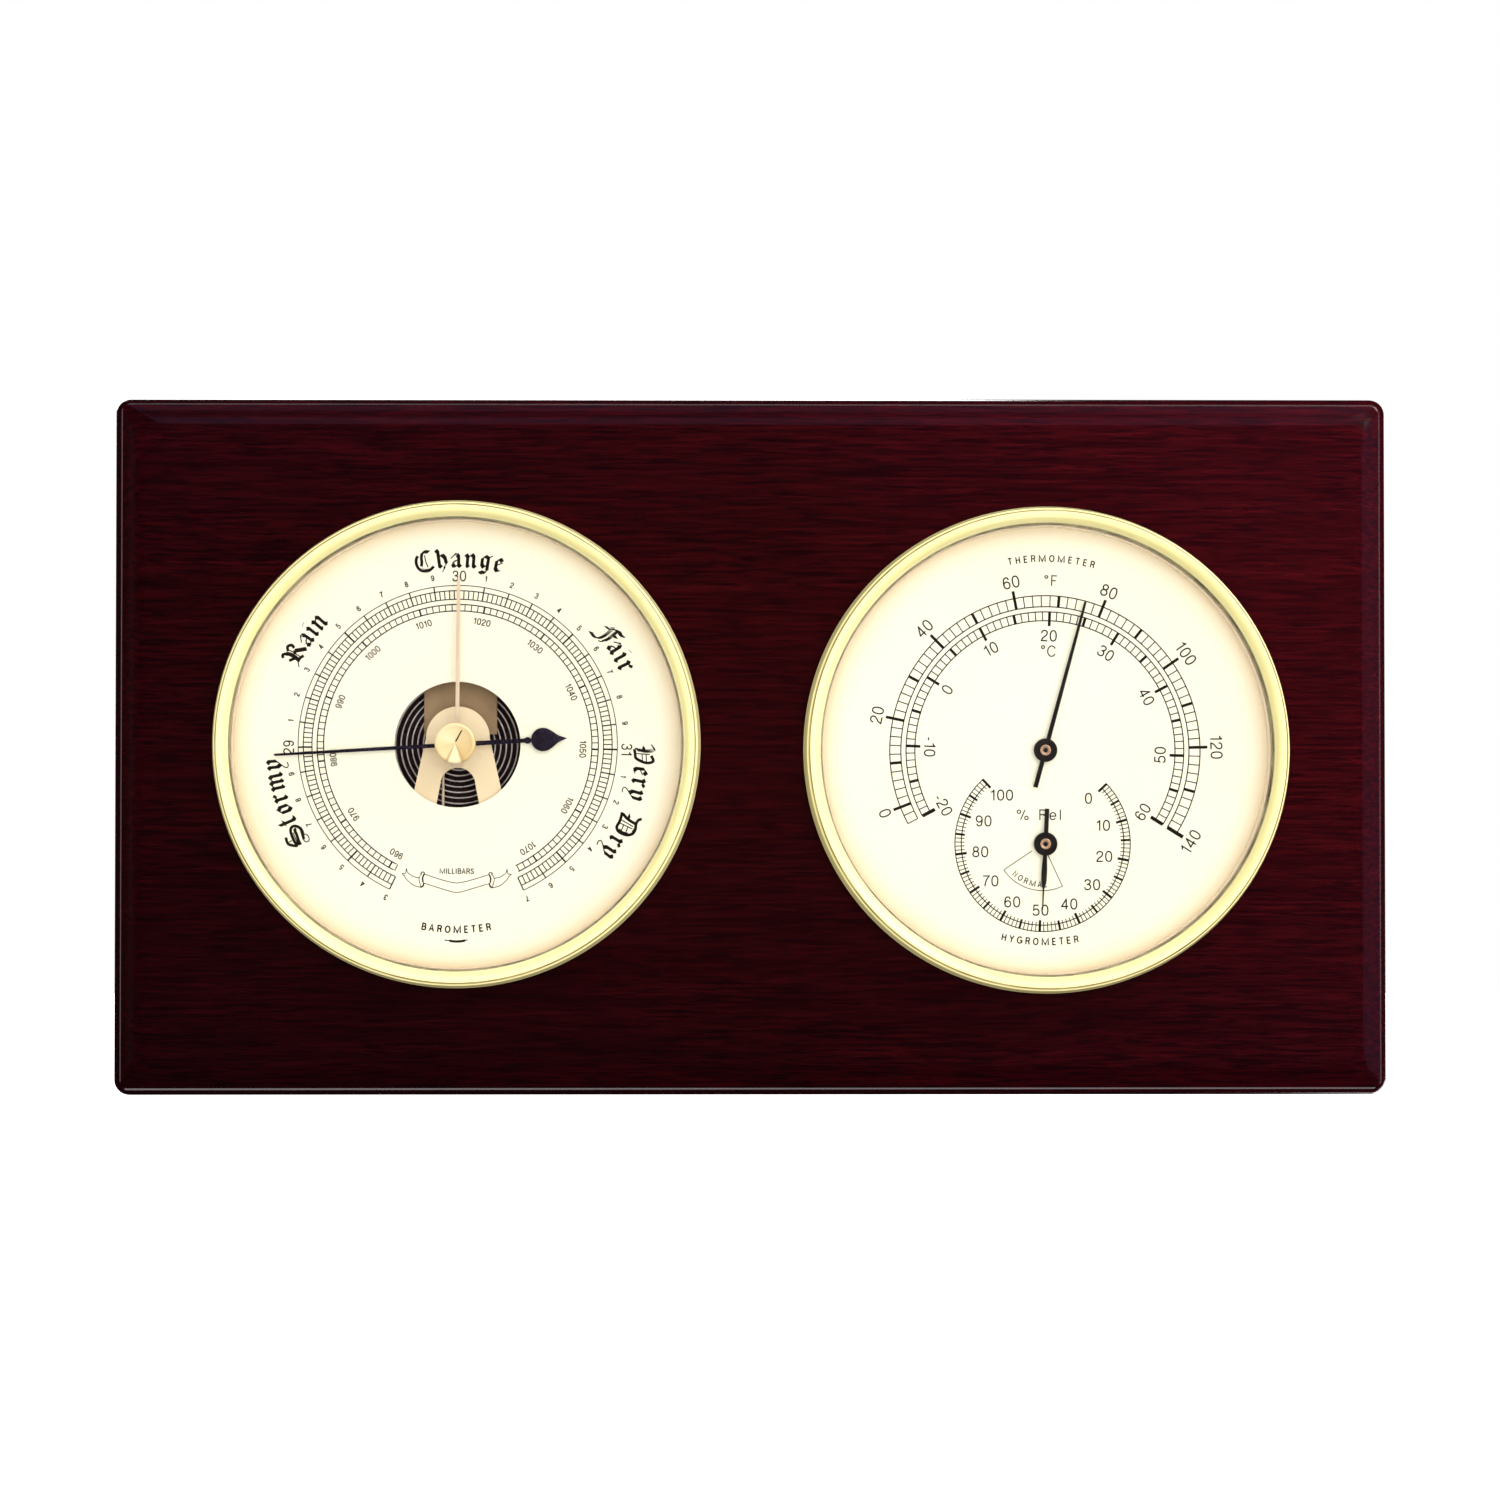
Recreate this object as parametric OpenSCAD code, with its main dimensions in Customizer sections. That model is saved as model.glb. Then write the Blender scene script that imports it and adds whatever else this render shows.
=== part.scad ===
// Wall weather station: a wide wooden board that carries an aneroid barometer
// on the left and a combined thermometer and hygrometer on the right.
// Millimetres. +Z is up, +X is to the right as seen from the front, and the
// front faces -Y. The origin is the middle of the board's flat back.

/* [Board] */
// Width of the wooden board
board_w = 281; // [276:1:300]
// Height of the wooden board
board_h = 154; // [148:0.2:166]
// Thickness of the wooden board
board_t = 24; // [24:0.5:28]
// Radius of the board's corners, seen from the front
corner_r = 3.4; // [2:0.2:6]
// Width of the rounded shoulder around the front face
shoulder_w = 6.4; // [4:0.2:8]
// Drop of the shoulder from the front face to the side
shoulder_d = 3.4; // [2:0.2:5]
// Radius of the two holes that take the instruments
bore_r = 51; // [50.6:0.1:51.4]

/* [Instruments] */
// Distance of each instrument's axis from the middle of the board
dial_x = 64.9; // [64.5:0.1:67]
// Height of the barometer's axis above the middle of the board
baro_z = 0.3; // [-2:0.1:2]
// Height of the thermometer's axis above the middle of the board
thermo_z = -0.9; // [-2:0.1:2]
// Distance of the hygrometer's axis below the thermometer's axis
hygro_drop = 20.7; // [19.5:0.1:22]
// Outer radius of the bezels
bezel_r = 53.6; // [53.5:0.1:54.4]
// Radius of the dials
dial_r = 49.1; // [48.6:0.1:49.2]
// Radius of the window in the barometer's dial
window_r = 13.9; // [12:0.1:15]
// Outer radius of the aneroid capsule
capsule_r = 19; // [17.5:0.1:19.4]

/* [Hands] */
// Length of the pressure hand from its axis to the tip
pressure_len = 40.6; // [34:0.2:43]
// Length of the set hand from its axis to the tip
set_len = 37.4; // [30:0.2:43]
// Length of the thermometer hand from its axis to the tip
thermo_len = 34.2; // [28:0.2:40]
// Length of the hygrometer hand from its axis to the tip
hygro_len = 14.8; // [10:0.2:17]
// Reading of the pressure hand, degrees clockwise from the top
pressure_at = -93.3; // [-94:0.1:-92]
// Place of the set hand, degrees clockwise from the top
set_at = 0.5; // [-150:0.1:150]
// Reading of the thermometer hand, degrees clockwise from the top
thermo_at = 15.2; // [-110:0.2:115]
// Reading of the hygrometer hand, degrees clockwise from the top
hygro_at = 182.7; // [60:0.1:300]

/* [Hanging] */
// Distance of each keyhole plate from the middle of the board
hanger_x = 112; // [110:1:120]
// Height of the keyhole plates' middle above the middle of the board
hanger_z = 56; // [54:0.5:57]
// Radius of the keyhole's round entry
keyhole_r = 4.25; // [3.8:0.05:4.8]
// Half the width of the keyhole's slot
slot_r = 2.1; // [1.8:0.05:2.4]

/* [Hidden] */
$fn = 96;
e = 0.01;

// Heights along an instrument's axis, measured forwards from the board's
// front face; values below zero lie inside the board.
case_r = 49.9;       // outside of the instrument case
case_in = 49.3;      // inside of the instrument case
back_h = -21.6;      // outside of the case's back
floor_h = -21.0;     // inside of the case's back
glass_lo = 0.9;      // underside of the glass
glass_hi = 2.3;      // top of the glass
dial_lo = -4.5;      // underside of the dials
dial_hi = -4.0;      // printed face of the dials
plate_lo = -19.2;    // underside of the movement's base plate
plate_hi = -18.0;    // top of the movement's base plate
strap_lo = -10.4;    // underside of the main spring's flat arm
strap_hi = -9.7;
lower_lo = -7.9;     // lower plate that carries the hand arbor's rear pivot
lower_hi = -7.4;
bridge_lo = -6.2;
bridge_hi = -5.2;
hand_lo = -2.9;      // pressure, thermometer and hygrometer hands
hand_hi = -2.6;
spacing = 21.2;      // from the hand arbor to the sector's pivot
piv_x = 10.2;        // sector's pivot
piv_y = -sqrt(spacing * spacing - piv_x * piv_x);
mesh_a = atan2(-piv_y, -piv_x);   // direction from the sector's pivot to the arbor
pitch_a = 360 / 202;              // the full wheel would have 202 teeth
rock_y = -23;        // axis of the rocking shaft
rock_h = -12;
lever_x = -3.4;      // the long lever's rod
lever_y = 4.2;       // axis of the long lever
lever_h = -8.55;
adj_y = 31;          // adjusting screw
pillar_pos = [for (a = [30, 150, 270]) [43 * cos(a), 43 * sin(a)]];
mount_pos = [for (a = [30, 150, 270]) [30 * cos(a), 30 * sin(a)]];
vent_pos = [for (a = [0 : 45 : 315]) [24 * cos(a), 24 * sin(a)]];

// Frames: x to the right, y up and z towards the viewer, z = 0 on the board's face
module seat(cx, cz, h = 0) translate([cx, -board_t - h, cz]) rotate([90, 0, 0]) children();
module at_baro(h = 0) seat(-dial_x, baro_z, h) children();
module at_thermo(h = 0) seat(dial_x, thermo_z, h) children();
module at_hygro(h = 0) seat(dial_x, thermo_z - hygro_drop, h) children();
module turn(pts) rotate_extrude($fn = 180) polygon(pts);
module disc(r, lo, hi, fn = 96) translate([0, 0, lo]) cylinder(r = r, h = hi - lo, $fn = fn);
module ring(ri, ro, lo, hi, fn = 96) difference() { disc(ro, lo, hi, fn); disc(ri, lo - 1, hi + 1, fn); }
module slab(x0, x1, y0, y1, lo, hi) translate([x0, y0, lo]) cube([x1 - x0, y1 - y0, hi - lo]);
// A flat bar between two points
module bar(p, q, w, lo, hi) {
    d = norm(q - p);
    translate([p[0], p[1], lo]) rotate([0, 0, atan2(q[1] - p[1], q[0] - p[0])])
        translate([0, -w / 2, 0]) cube([d, w, hi - lo]);
}
// An outline in height and width, drawn in the y-z plane and extruded along x
module side(pts, x0, x1) translate([x0, 0, 0]) rotate([90, 0, 90]) linear_extrude(height = x1 - x0) polygon(pts);

// ------------------------------------------------------------------ board
// Shoulder curve: flat at first, then turning down into the side
function shoulder(w, d, n = 14) = [for (i = [0 : n]) let (t = 90 * i / n)
    [w * pow(sin(t), 0.625), d * (1 - pow(cos(t), 1.25))]];
function edge_profile(w) = let (s = shoulder(shoulder_w, shoulder_d), n = len(s) - 1) concat(
    [for (i = [0 : n]) [w / 2 - shoulder_w + s[i][0], -board_t + s[i][1]]],
    [[w / 2, -0.8], [w / 2 - 0.8, 0], [-w / 2 + 0.8, 0], [-w / 2, -0.8]],
    [for (i = [n : -1 : 0]) [-w / 2 + shoulder_w - s[i][0], -board_t + s[i][1]]]);

module rounded_sheet(w, h, r) {
    square([w - 2 * r, h], center = true);
    square([w, h - 2 * r], center = true);
    for (x = [-1, 1], y = [-1, 1]) translate([x * (w / 2 - r), y * (h / 2 - r)]) circle(r = r, $fn = 64);
}
module hanger_pocket(x) translate([x, 0, hanger_z]) {
    translate([-8.2, -1.5, -17.2]) cube([16.4, 2.5, 34.4]);
    translate([-6.2, -9, -10.8]) cube([12.4, 10, 20.6]);
    for (z = [-13.4, 13.4]) translate([0, 1, z]) rotate([90, 0, 0]) cylinder(r = 1.2, h = 13.4, $fn = 48);
}
module board() color([0.20, 0.03, 0.05]) difference() {
    intersection() {
        translate([0, 0, -board_h / 2 - 2]) linear_extrude(height = board_h + 4) polygon(edge_profile(board_w));
        translate([-board_w / 2 - 2, 0, 0]) rotate([90, 0, 90]) linear_extrude(height = board_w + 4)
            polygon([for (p = edge_profile(board_h)) [p[1], p[0]]]);
        translate([0, 1, 0]) rotate([90, 0, 0]) linear_extrude(height = board_t + 3)
            rounded_sheet(board_w, board_h, corner_r);
    }
    at_baro() translate([0, 0, -board_t - 1]) cylinder(r = bore_r, h = board_t + 2, $fn = 180);
    at_thermo() translate([0, 0, -board_t - 1]) cylinder(r = bore_r, h = board_t + 2, $fn = 180);
    hanger_pocket(-hanger_x);
    hanger_pocket(hanger_x);
}

// ---------------------------------------------------------------- hanging
module hanger_plate(x) color([0.78, 0.66, 0.36]) translate([x, 0, hanger_z]) rotate([90, 0, 0]) difference() {
    linear_extrude(height = 1.5) rounded_sheet(16, 34, 2);
    translate([0, -5, -1]) cylinder(r = keyhole_r, h = 4);
    translate([-slot_r, -5, -1]) cube([2 * slot_r, 10, 4]);
    translate([0, 5, -1]) cylinder(r = slot_r, h = 4);
    for (y = [-13.4, 13.4]) translate([0, y, -e]) {
        cylinder(r = 1.7, h = 4, $fn = 48);
        cylinder(r1 = 3.0, r2 = 1.7, h = 1.3, $fn = 48);
    }
}
module hanger_plate_left() hanger_plate(-hanger_x);
module hanger_plate_right() hanger_plate(hanger_x);
module wood_screw() difference() {
    rotate_extrude($fn = 48) polygon([[0, 0.05], [2.85, 0.05], [1.5, 1.38], [1.15, 1.46], [1.15, 9], [0, 11.5]]);
    translate([-3.2, -0.35, -1]) cube([6.4, 0.7, 1.75]);
}
module hanger_screws() color([0.80, 0.70, 0.42]) for (x = [-hanger_x, hanger_x], z = [-13.4, 13.4])
    translate([x, 0, hanger_z + z]) rotate([90, 0, 0]) rotate([0, 0, 35]) wood_screw();

// ------------------------------------------------- parts both dials share
module case_cup(holes, hole_r) difference() {
    turn([[0, back_h], [48.3, back_h], [49.3, back_h + 0.25], [49.8, back_h + 0.8], [case_r, back_h + 1.5],
        [case_r, 0], [52.4, 0], [52.4, 0.6], [case_in, 0.6], [case_in, floor_h + 0.9], [48.7, floor_h + 0.2],
        [48.1, floor_h], [0, floor_h]]);
    for (p = pillar_pos) translate([p[0], p[1], back_h - 1]) cylinder(r = 1.4, h = 3, $fn = 48);
    for (p = holes) translate([p[0], p[1], back_h - 1]) cylinder(r = hole_r, h = 3, $fn = 48);
    children();
}
module fit_ring() ring(case_r, bore_r, -14, -6, 180);
// The bezel: tapered outer wall, a fine groove, a rounded crest and a convex
// slope that runs inwards and down to the glass
module bezel() turn([[52.45, 0], [bezel_r, 0], [bezel_r, 0.8], [bezel_r - 0.1, 1.05], [52.95, 5.35], [52.8, 5.55],
    [52.38, 5.65], [52.38, 5.9], [52.55, 6.05], [52.56, 6.35], [52.42, 6.62], [52.15, 6.78], [51.85, 6.8],
    [51.5, 6.66], [51.15, 6.35], [50.8, 5.85], [50.45, 5.15], [50.12, 4.3], [49.82, 3.4], [49.6, 2.75],
    [49.5, 2.55], [49.5, 2.35], [50.65, 2.35], [50.65, 0.62], [52.45, 0.62]]);
module gasket() ring(49.4, 50.4, 0.6, glass_lo, 180);
module glass_disc() translate([0, 0, glass_lo]) cylinder(r = 50.5, h = glass_hi - glass_lo, $fn = 180);
module pillars() for (p = pillar_pos) translate([p[0], p[1], floor_h]) difference() {
    cylinder(r = 2.3, h = dial_lo - floor_h, $fn = 48);
    translate([0, 0, -1]) cylinder(r = 1.3, h = 8, $fn = 48);
}
module pan_screw(r, hr, hh, len, a = 0) difference() {
    union() {
        rotate_extrude($fn = 48) polygon([[0, -hh], [hr * 0.7, -hh], [hr * 0.93, -hh * 0.72], [hr, -hh * 0.3], [hr, 0], [0, 0]]);
        translate([0, 0, -e]) cylinder(r = r, h = len + e, $fn = 48);
    }
    rotate([0, 0, a]) translate([-hr - 1, -0.3, -hh - 1]) cube([2 * hr + 2, 0.6, 1.55]);
}
module case_screw_set(mounts, mlen) {
    for (i = [0 : 2]) translate([pillar_pos[i][0], pillar_pos[i][1], back_h]) pan_screw(1.25, 2.3, 1.4, 6, 20 + 47 * i);
    for (i = [0 : 1 : len(mounts) - 1]) translate([mounts[i][0], mounts[i][1], back_h]) pan_screw(1.25, 2.3, 1.4, mlen, 65 - 38 * i);
}

// -------------------------------------------------------------- barometer
module baro_case() color([0.80, 0.68, 0.40]) at_baro() case_cup(mount_pos, 1.4)
    translate([0, adj_y, back_h - 1]) cylinder(r = 2.3, h = 3, $fn = 48);
module baro_fit_ring() color([0.09, 0.09, 0.09]) at_baro() fit_ring();
module baro_bezel() color([0.95, 0.80, 0.42]) at_baro() bezel();
module baro_gasket() color([0.25, 0.22, 0.18]) at_baro() gasket();
module baro_glass() color([0.8, 0.9, 0.95, 0.3]) at_baro() difference() {
    glass_disc();
    cylinder(r = 2.2, h = 4, $fn = 64);
}
module glass_bush() color([0.88, 0.72, 0.38]) at_baro() turn([[1.55, 0.3], [2.15, 0.3], [2.15, glass_hi],
    [3.4, glass_hi], [3.4, 2.6], [3.15, 2.8], [1.55, 2.8]]);
module bush_washer() color([0.82, 0.68, 0.38]) at_baro() ring(2.2, 3.4, 0.3, glass_lo);
// Turned knob with a shallow dish in its face, on a shaft through the glass
module set_knob() color([0.95, 0.82, 0.48]) at_baro() turn([[0, -1.35], [1.5, -1.35], [1.5, 2.95], [2.6, 2.95],
    [2.75, 3.3], [2.75, 4.4], [3.3, 4.9], [4.2, 5.1], [4.42, 5.35], [4.45, 5.6], [4.45, 8.1], [4.36, 8.4], [4.1, 8.62],
    [3.8, 8.66], [3.2, 8.52], [2.2, 8.36], [1.0, 8.28], [0, 8.26]]);
module set_hand() color([0.97, 0.86, 0.62]) at_baro() rotate([0, 0, -set_at]) difference() {
    union() {
        disc(2.5, -1.3, 0.1);
        translate([0, 0, -1.3]) linear_extrude(height = 0.3)
            polygon([[-0.45, 1.5], [0.45, 1.5], [0.36, set_len - 2], [0.12, set_len], [-0.12, set_len], [-0.36, set_len - 2]]);
        translate([0, 0, -1.3]) linear_extrude(height = 0.3)
            polygon([[-0.5, -1.5], [0.5, -1.5], [1.5, -4.4], [1.2, -5.0], [0.6, -5.25], [-0.6, -5.25], [-1.2, -5.0], [-1.5, -4.4]]);
    }
    disc(1.5, -2, 1);
}
// Pressure hand: a long taper, a hub, and a tail that ends in a bead and a spade
module pressure_hand() color([0.10, 0.07, 0.12]) at_baro() rotate([0, 0, -pressure_at]) difference() {
    union() {
        disc(1.9, hand_lo - 0.5, hand_hi + 0.6);
        translate([0, 0, hand_lo]) linear_extrude(height = hand_hi - hand_lo) {
            polygon([[-0.46, 0], [0.46, 0], [0.36, pressure_len * 0.6], [0.24, pressure_len - 0.4], [0, pressure_len],
                [-0.24, pressure_len - 0.4], [-0.36, pressure_len * 0.6]]);
            polygon([[-0.52, 0], [0.52, 0], [0.46, -15.2], [0.34, -17.2], [-0.34, -17.2], [-0.46, -15.2]]);
            translate([0, -15.5]) circle(r = 0.75, $fn = 48);
            translate([0, -18.9]) circle(r = 2.6, $fn = 72);
            polygon([[-2.35, -20.0], [2.35, -20.0], [1.5, -21.35], [0.75, -22.4], [0.3, -23.2], [0, -24.3],
                [-0.3, -23.2], [-0.75, -22.4], [-1.5, -21.35]]);
        }
    }
    disc(0.45, hand_lo - 2, hand_hi + 2, 48);
}
// Hand arbor: rear pivot, ten-leaved pinion, spring collet and the post for the hand
pin_a = atan2(piv_y, piv_x);
module hand_arbor() color([0.75, 0.72, 0.66]) at_baro() {
    disc(0.45, -7.38, -1.9, 48);
    disc(0.3, -7.85, -7.3, 48);
    disc(0.78, -7.3, -6.65, 48);
    disc(0.87, -6.66, -6.3, 48);
    for (i = [0 : 9]) rotate([0, 0, pin_a + 36 * i]) translate([0, 0, -7.3]) linear_extrude(height = 0.65)
        polygon([[0.6, -0.16], [0.95, -0.12], [1.17, -0.05], [1.17, 0.05], [0.95, 0.12], [0.6, 0.16]]);
}
module baro_dial() color([1.0, 0.98, 0.90]) at_baro() ring(window_r, dial_r, dial_lo, dial_hi, 180);
module baro_dial_pillars() color([0.75, 0.73, 0.70]) at_baro() pillars();
module baro_case_screws() color([0.72, 0.70, 0.66]) at_baro() case_screw_set(mount_pos, 3.4);

module base_plate() color([0.62, 0.60, 0.55]) at_baro() difference() {
    disc(36, plate_lo, plate_hi, 120);
    disc(2.05, -25, -10, 48);
    translate([0, adj_y, 0]) disc(1.55, -25, -10, 48);
    for (p = mount_pos) translate([p[0], p[1], 0]) disc(1.3, -25, -10, 48);
    for (x = [-5.1, 5.9]) translate([x, 26.5, 0]) disc(1.15, -25, -10, 48);
    for (x = [-10.2, 10.2]) translate([x, -30.2, 0]) disc(1.35, -25, -10, 48);
    for (x = [-1, 1]) translate([x * 26, -5, 0]) disc(4, -25, -10, 64);
}
module plate_spacers() color([0.80, 0.70, 0.45]) at_baro() for (p = mount_pos)
    translate([p[0], p[1], 0]) ring(1.35, 2.8, floor_h, plate_lo, 48);

// Sealed capsule: two corrugated diaphragms joined at the rim, a centre boss
// with a pin in front, and a threaded stud behind
function wave(r, s) = s * 0.32 * cos(360 * (r - 0.55) / 1.86);
module aneroid_capsule() color([0.10, 0.08, 0.09]) at_baro() turn(concat(
    [[0, -10.4], [1.4, -10.4], [1.4, -11.5], [3.2, -11.5], [3.6, -12.1]],
    [for (r = [4.2 : 0.155 : 16.5]) [r, -12.1 + wave(r, 1)]],
    [[17.0, -12.6], [17.4, -13.9], [capsule_r - 0.3, -14.2], [capsule_r, -14.45], [capsule_r, -14.75],
        [capsule_r - 0.3, -15.0], [17.4, -15.3], [17.0, -16.4]],
    [for (r = [16.4 : -0.93 : 5.2]) [r, -16.7 + wave(r, 0.7)]],
    [[4.2, -17.0], [4, plate_hi], [2, plate_hi], [2, -20.9], [0, -20.9]]));
module capsule_nut() color([0.72, 0.70, 0.66]) at_baro() difference() {
    translate([0, 0, -20.8]) cylinder(r = 3.9, h = plate_lo + 20.8, $fn = 6);
    disc(2.0, -25, -10, 48);
}
// Stud that sits on the capsule's pin and carries its movement to the lever
module capsule_stud() color([0.85, 0.72, 0.42]) at_baro() turn([[0, -9.95], [1.45, -9.95], [1.45, -11.1], [2.4, -11.1],
    [2.4, -10.65], [1.85, -10.65], [1.85, -9.9], [1.0, -9.9], [1.0, -9.35], [1.6, -9.35], [1.6, -9.1], [1.4, -8.95], [0, -8.95]]);
// Main spring: a wide strap with a narrow tongue over the capsule's centre,
// bent down behind the capsule and out into a foot
module main_spring() color([0.58, 0.50, 0.40]) at_baro() difference() {
    union() {
        side([[2.4, strap_lo], [19.6, strap_lo], [21.2, strap_lo - 0.7], [22.0, strap_lo - 2.1], [22.0, -16.2],
            [22.3, -16.9], [33.6, -16.9], [33.6, -16.2], [23.0, -16.2], [22.7, -15.9], [22.7, strap_lo - 1.9],
            [21.7, strap_hi - 0.5], [19.8, strap_hi], [2.4, strap_hi]], -7.7, 8.5);
        slab(-2.8, 2.8, -2.6, 3, strap_lo, strap_hi);
    }
    disc(2.1, -12, -9, 48);
    for (x = [-5.1, 5.9]) translate([x, 26.5, 0]) disc(1.15, -25, -10, 48);
}
module spring_block() color([0.78, 0.68, 0.42]) at_baro() difference() {
    slab(-7.7, 8.5, 24.2, 29, plate_hi, -16.9);
    for (x = [-5.1, 5.9]) translate([x, 26.5, 0]) disc(1.15, -25, -10, 48);
}
module spring_screws() color([0.72, 0.70, 0.66]) at_baro() for (x = [-5.1, 5.9])
    translate([x, 26.5, -16.2]) rotate([180, 0, 0]) pan_screw(1.1, 1.9, 1.1, 2.9, 30 * x);
module adjusting_screw() color([0.80, 0.68, 0.40]) at_baro() translate([0, adj_y, 0]) difference() {
    turn([[0, -22.2], [1.2, -22.2], [1.5, -21.9], [1.5, -17.5], [0.9, -16.95], [0, -16.95]]);
    translate([-2, -0.3, -23]) cube([4, 0.6, 1.6]);
}

// Bridge: round top over the arbor, flared legs with an arch between them,
// bent down to two feet on the base plate
function leg_out(y) = 7.06 + 0.225 * (1.4 - y);
function leg_in(y) = 3.9 + 0.2 * (-9 - y);
module bridge_outline() difference() {
    union() {
        translate([0, 1.4]) circle(r = 7.06, $fn = 120);
        polygon([[-7.06, 1.4], [7.06, 1.4], [leg_out(-27.2), -27.2], [-leg_out(-27.2), -27.2]]);
    }
    translate([0, -9]) circle(r = 3.9, $fn = 96);
    polygon([[-3.9, -9], [3.9, -9], [leg_in(-28), -28], [-leg_in(-28), -28]]);
}
module movement_bridge() color([0.93, 0.80, 0.55]) at_baro() difference() {
    union() {
        translate([0, 0, bridge_lo]) linear_extrude(height = bridge_hi - bridge_lo) bridge_outline();
        for (s = [-1, 1]) {
            slab(s > 0 ? 7.5 : -13.4, s > 0 ? 13.4 : -7.5, -27.2, -26, -17.0, bridge_hi);
            slab(s > 0 ? 7.5 : -13.4, s > 0 ? 13.4 : -7.5, -33.2, -26, plate_hi, -16.8);
        }
    }
    disc(1.3, -10, 0, 48);
    translate([piv_x, piv_y, 0]) disc(0.65, -10, 0, 48);
    for (x = [-10.2, 10.2]) translate([x, -30.2, 0]) disc(1.35, -25, -10, 48);
}
module bridge_screws() color([0.72, 0.70, 0.66]) at_baro() for (x = [-10.2, 10.2])
    translate([x, -30.2, -16.8]) rotate([180, 0, 0]) pan_screw(1.3, 2.3, 1.2, 2.3, 5 * x);
module arbor_bush() color([0.88, 0.72, 0.38]) at_baro() ring(0.5, 1.3, bridge_lo, -4.9, 48);

module lower_plate() color([0.86, 0.72, 0.42]) at_baro() difference() {
    union() {
        disc(2.3, lower_lo, lower_hi, 64);
        translate([2.6, 3.4, 0]) disc(1.4, lower_lo, lower_hi, 48);
        bar([0, 0], [2.6, 3.4], 2.2, lower_lo, lower_hi);
        bar([0, 0], [6.4, -6.5], 2.2, lower_lo, lower_hi);
        translate([6.4, -6.5, 0]) disc(1.1, lower_lo, lower_hi, 48);
        bar([6.4, -6.5], [piv_x, piv_y], 2.2, lower_lo, lower_hi);
        translate([piv_x, piv_y, 0]) disc(1.9, lower_lo, lower_hi, 48);
        bar([piv_x, piv_y], [9.2, -22.2], 2.2, lower_lo, lower_hi);
        translate([9.2, -22.2, 0]) disc(1.3, lower_lo, lower_hi, 48);
    }
    disc(0.35, -10, -6, 48);
    translate([piv_x, piv_y, 0]) disc(0.65, -10, -6, 48);
}
module plate_pillars() color([0.84, 0.70, 0.40]) at_baro()
    for (p = [[2.6, 3.4], [9.2, -22.2]]) translate([p[0], p[1], 0]) disc(0.8, lower_hi, bridge_lo, 48);

// Toothed sector that drives the pinion, with a tail that the rocking shaft lifts
sec_rest = 4.62;  // the sector lies this far clockwise of the middle of its swing
module gear_sector() color([0.90, 0.76, 0.42]) at_baro() translate([piv_x, piv_y, 0]) {
    disc(0.6, -7.85, -5.0, 48);
    disc(1.7, -7.25, -6.7, 48);
    rotate([0, 0, mesh_a]) {
        translate([0, 0, -7.15]) linear_extrude(height = 0.4) {
            difference() {
                intersection() {
                    circle(r = 19.94, $fn = 360);
                    polygon([[0, 0], [25 * cos(-14.5), 25 * sin(-14.5)], [26, -1], [25 * cos(5.3), 25 * sin(5.3)]]);
                }
                circle(r = 18.4, $fn = 360);
            }
            for (k = [-8 : 2]) rotate([0, 0, (k + 0.5) * pitch_a])
                polygon([[19.8, -0.16], [20.15, -0.12], [20.36, -0.05], [20.36, 0.05], [20.15, 0.12], [19.8, 0.16]]);
        }
        rotate([0, 0, -sec_rest]) bar([0, 0], [18.9, 0], 1.6, -7.15, -6.75);
    }
    rotate([0, 0, -sec_rest]) bar([0, 0], [4.8, 0], 1.2, -7.15, -6.75);
}
// Flat spiral spring that takes up the play in the gears
function coil_pts(r0, pitch, turns, t, step) = concat(
    [for (a = [0 : step : 360 * turns]) let (r = r0 + pitch * a / 360 - t / 2) [r * cos(a), r * sin(a)]],
    [for (a = [360 * turns : -step : 0]) let (r = r0 + pitch * a / 360 + t / 2) [r * cos(a), r * sin(a)]]);
module hairspring() color([0.55, 0.55, 0.60]) at_baro() {
    translate([0, 0, -6.6]) linear_extrude(height = 0.25) polygon(coil_pts(0.95, 0.62, 4, 0.12, 15));
    translate([3.43, 0.1, 0]) disc(0.35, -6.6, bridge_lo, 32);
}
// Long lever: a thin rod on a cross pin, with a pad over the capsule's stud
module long_lever() color([0.88, 0.80, 0.72]) at_baro() {
    translate([-5.65, lever_y, lever_h]) rotate([0, 90, 0]) cylinder(r = 0.5, h = 4.5, $fn = 48);
    translate([lever_x, lever_y, lever_h]) rotate([90, 0, 0]) cylinder(r = 0.3, h = lever_y + 18.9, $fn = 48);
    slab(lever_x, 0.8, -0.6, 0.6, -8.85, -8.25);
}
module lever_bracket() color([0.82, 0.70, 0.44]) at_baro() difference() {
    union() {
        slab(-5.6, -1.2, 2.9, 5.5, -6.7, bridge_lo);
        for (x = [-5.6, -1.8]) slab(x, x + 0.6, 2.9, 5.5, -9.35, -6.7);
    }
    translate([-7, lever_y, lever_h]) rotate([0, 90, 0]) cylinder(r = 0.55, h = 7, $fn = 48);
}
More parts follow.
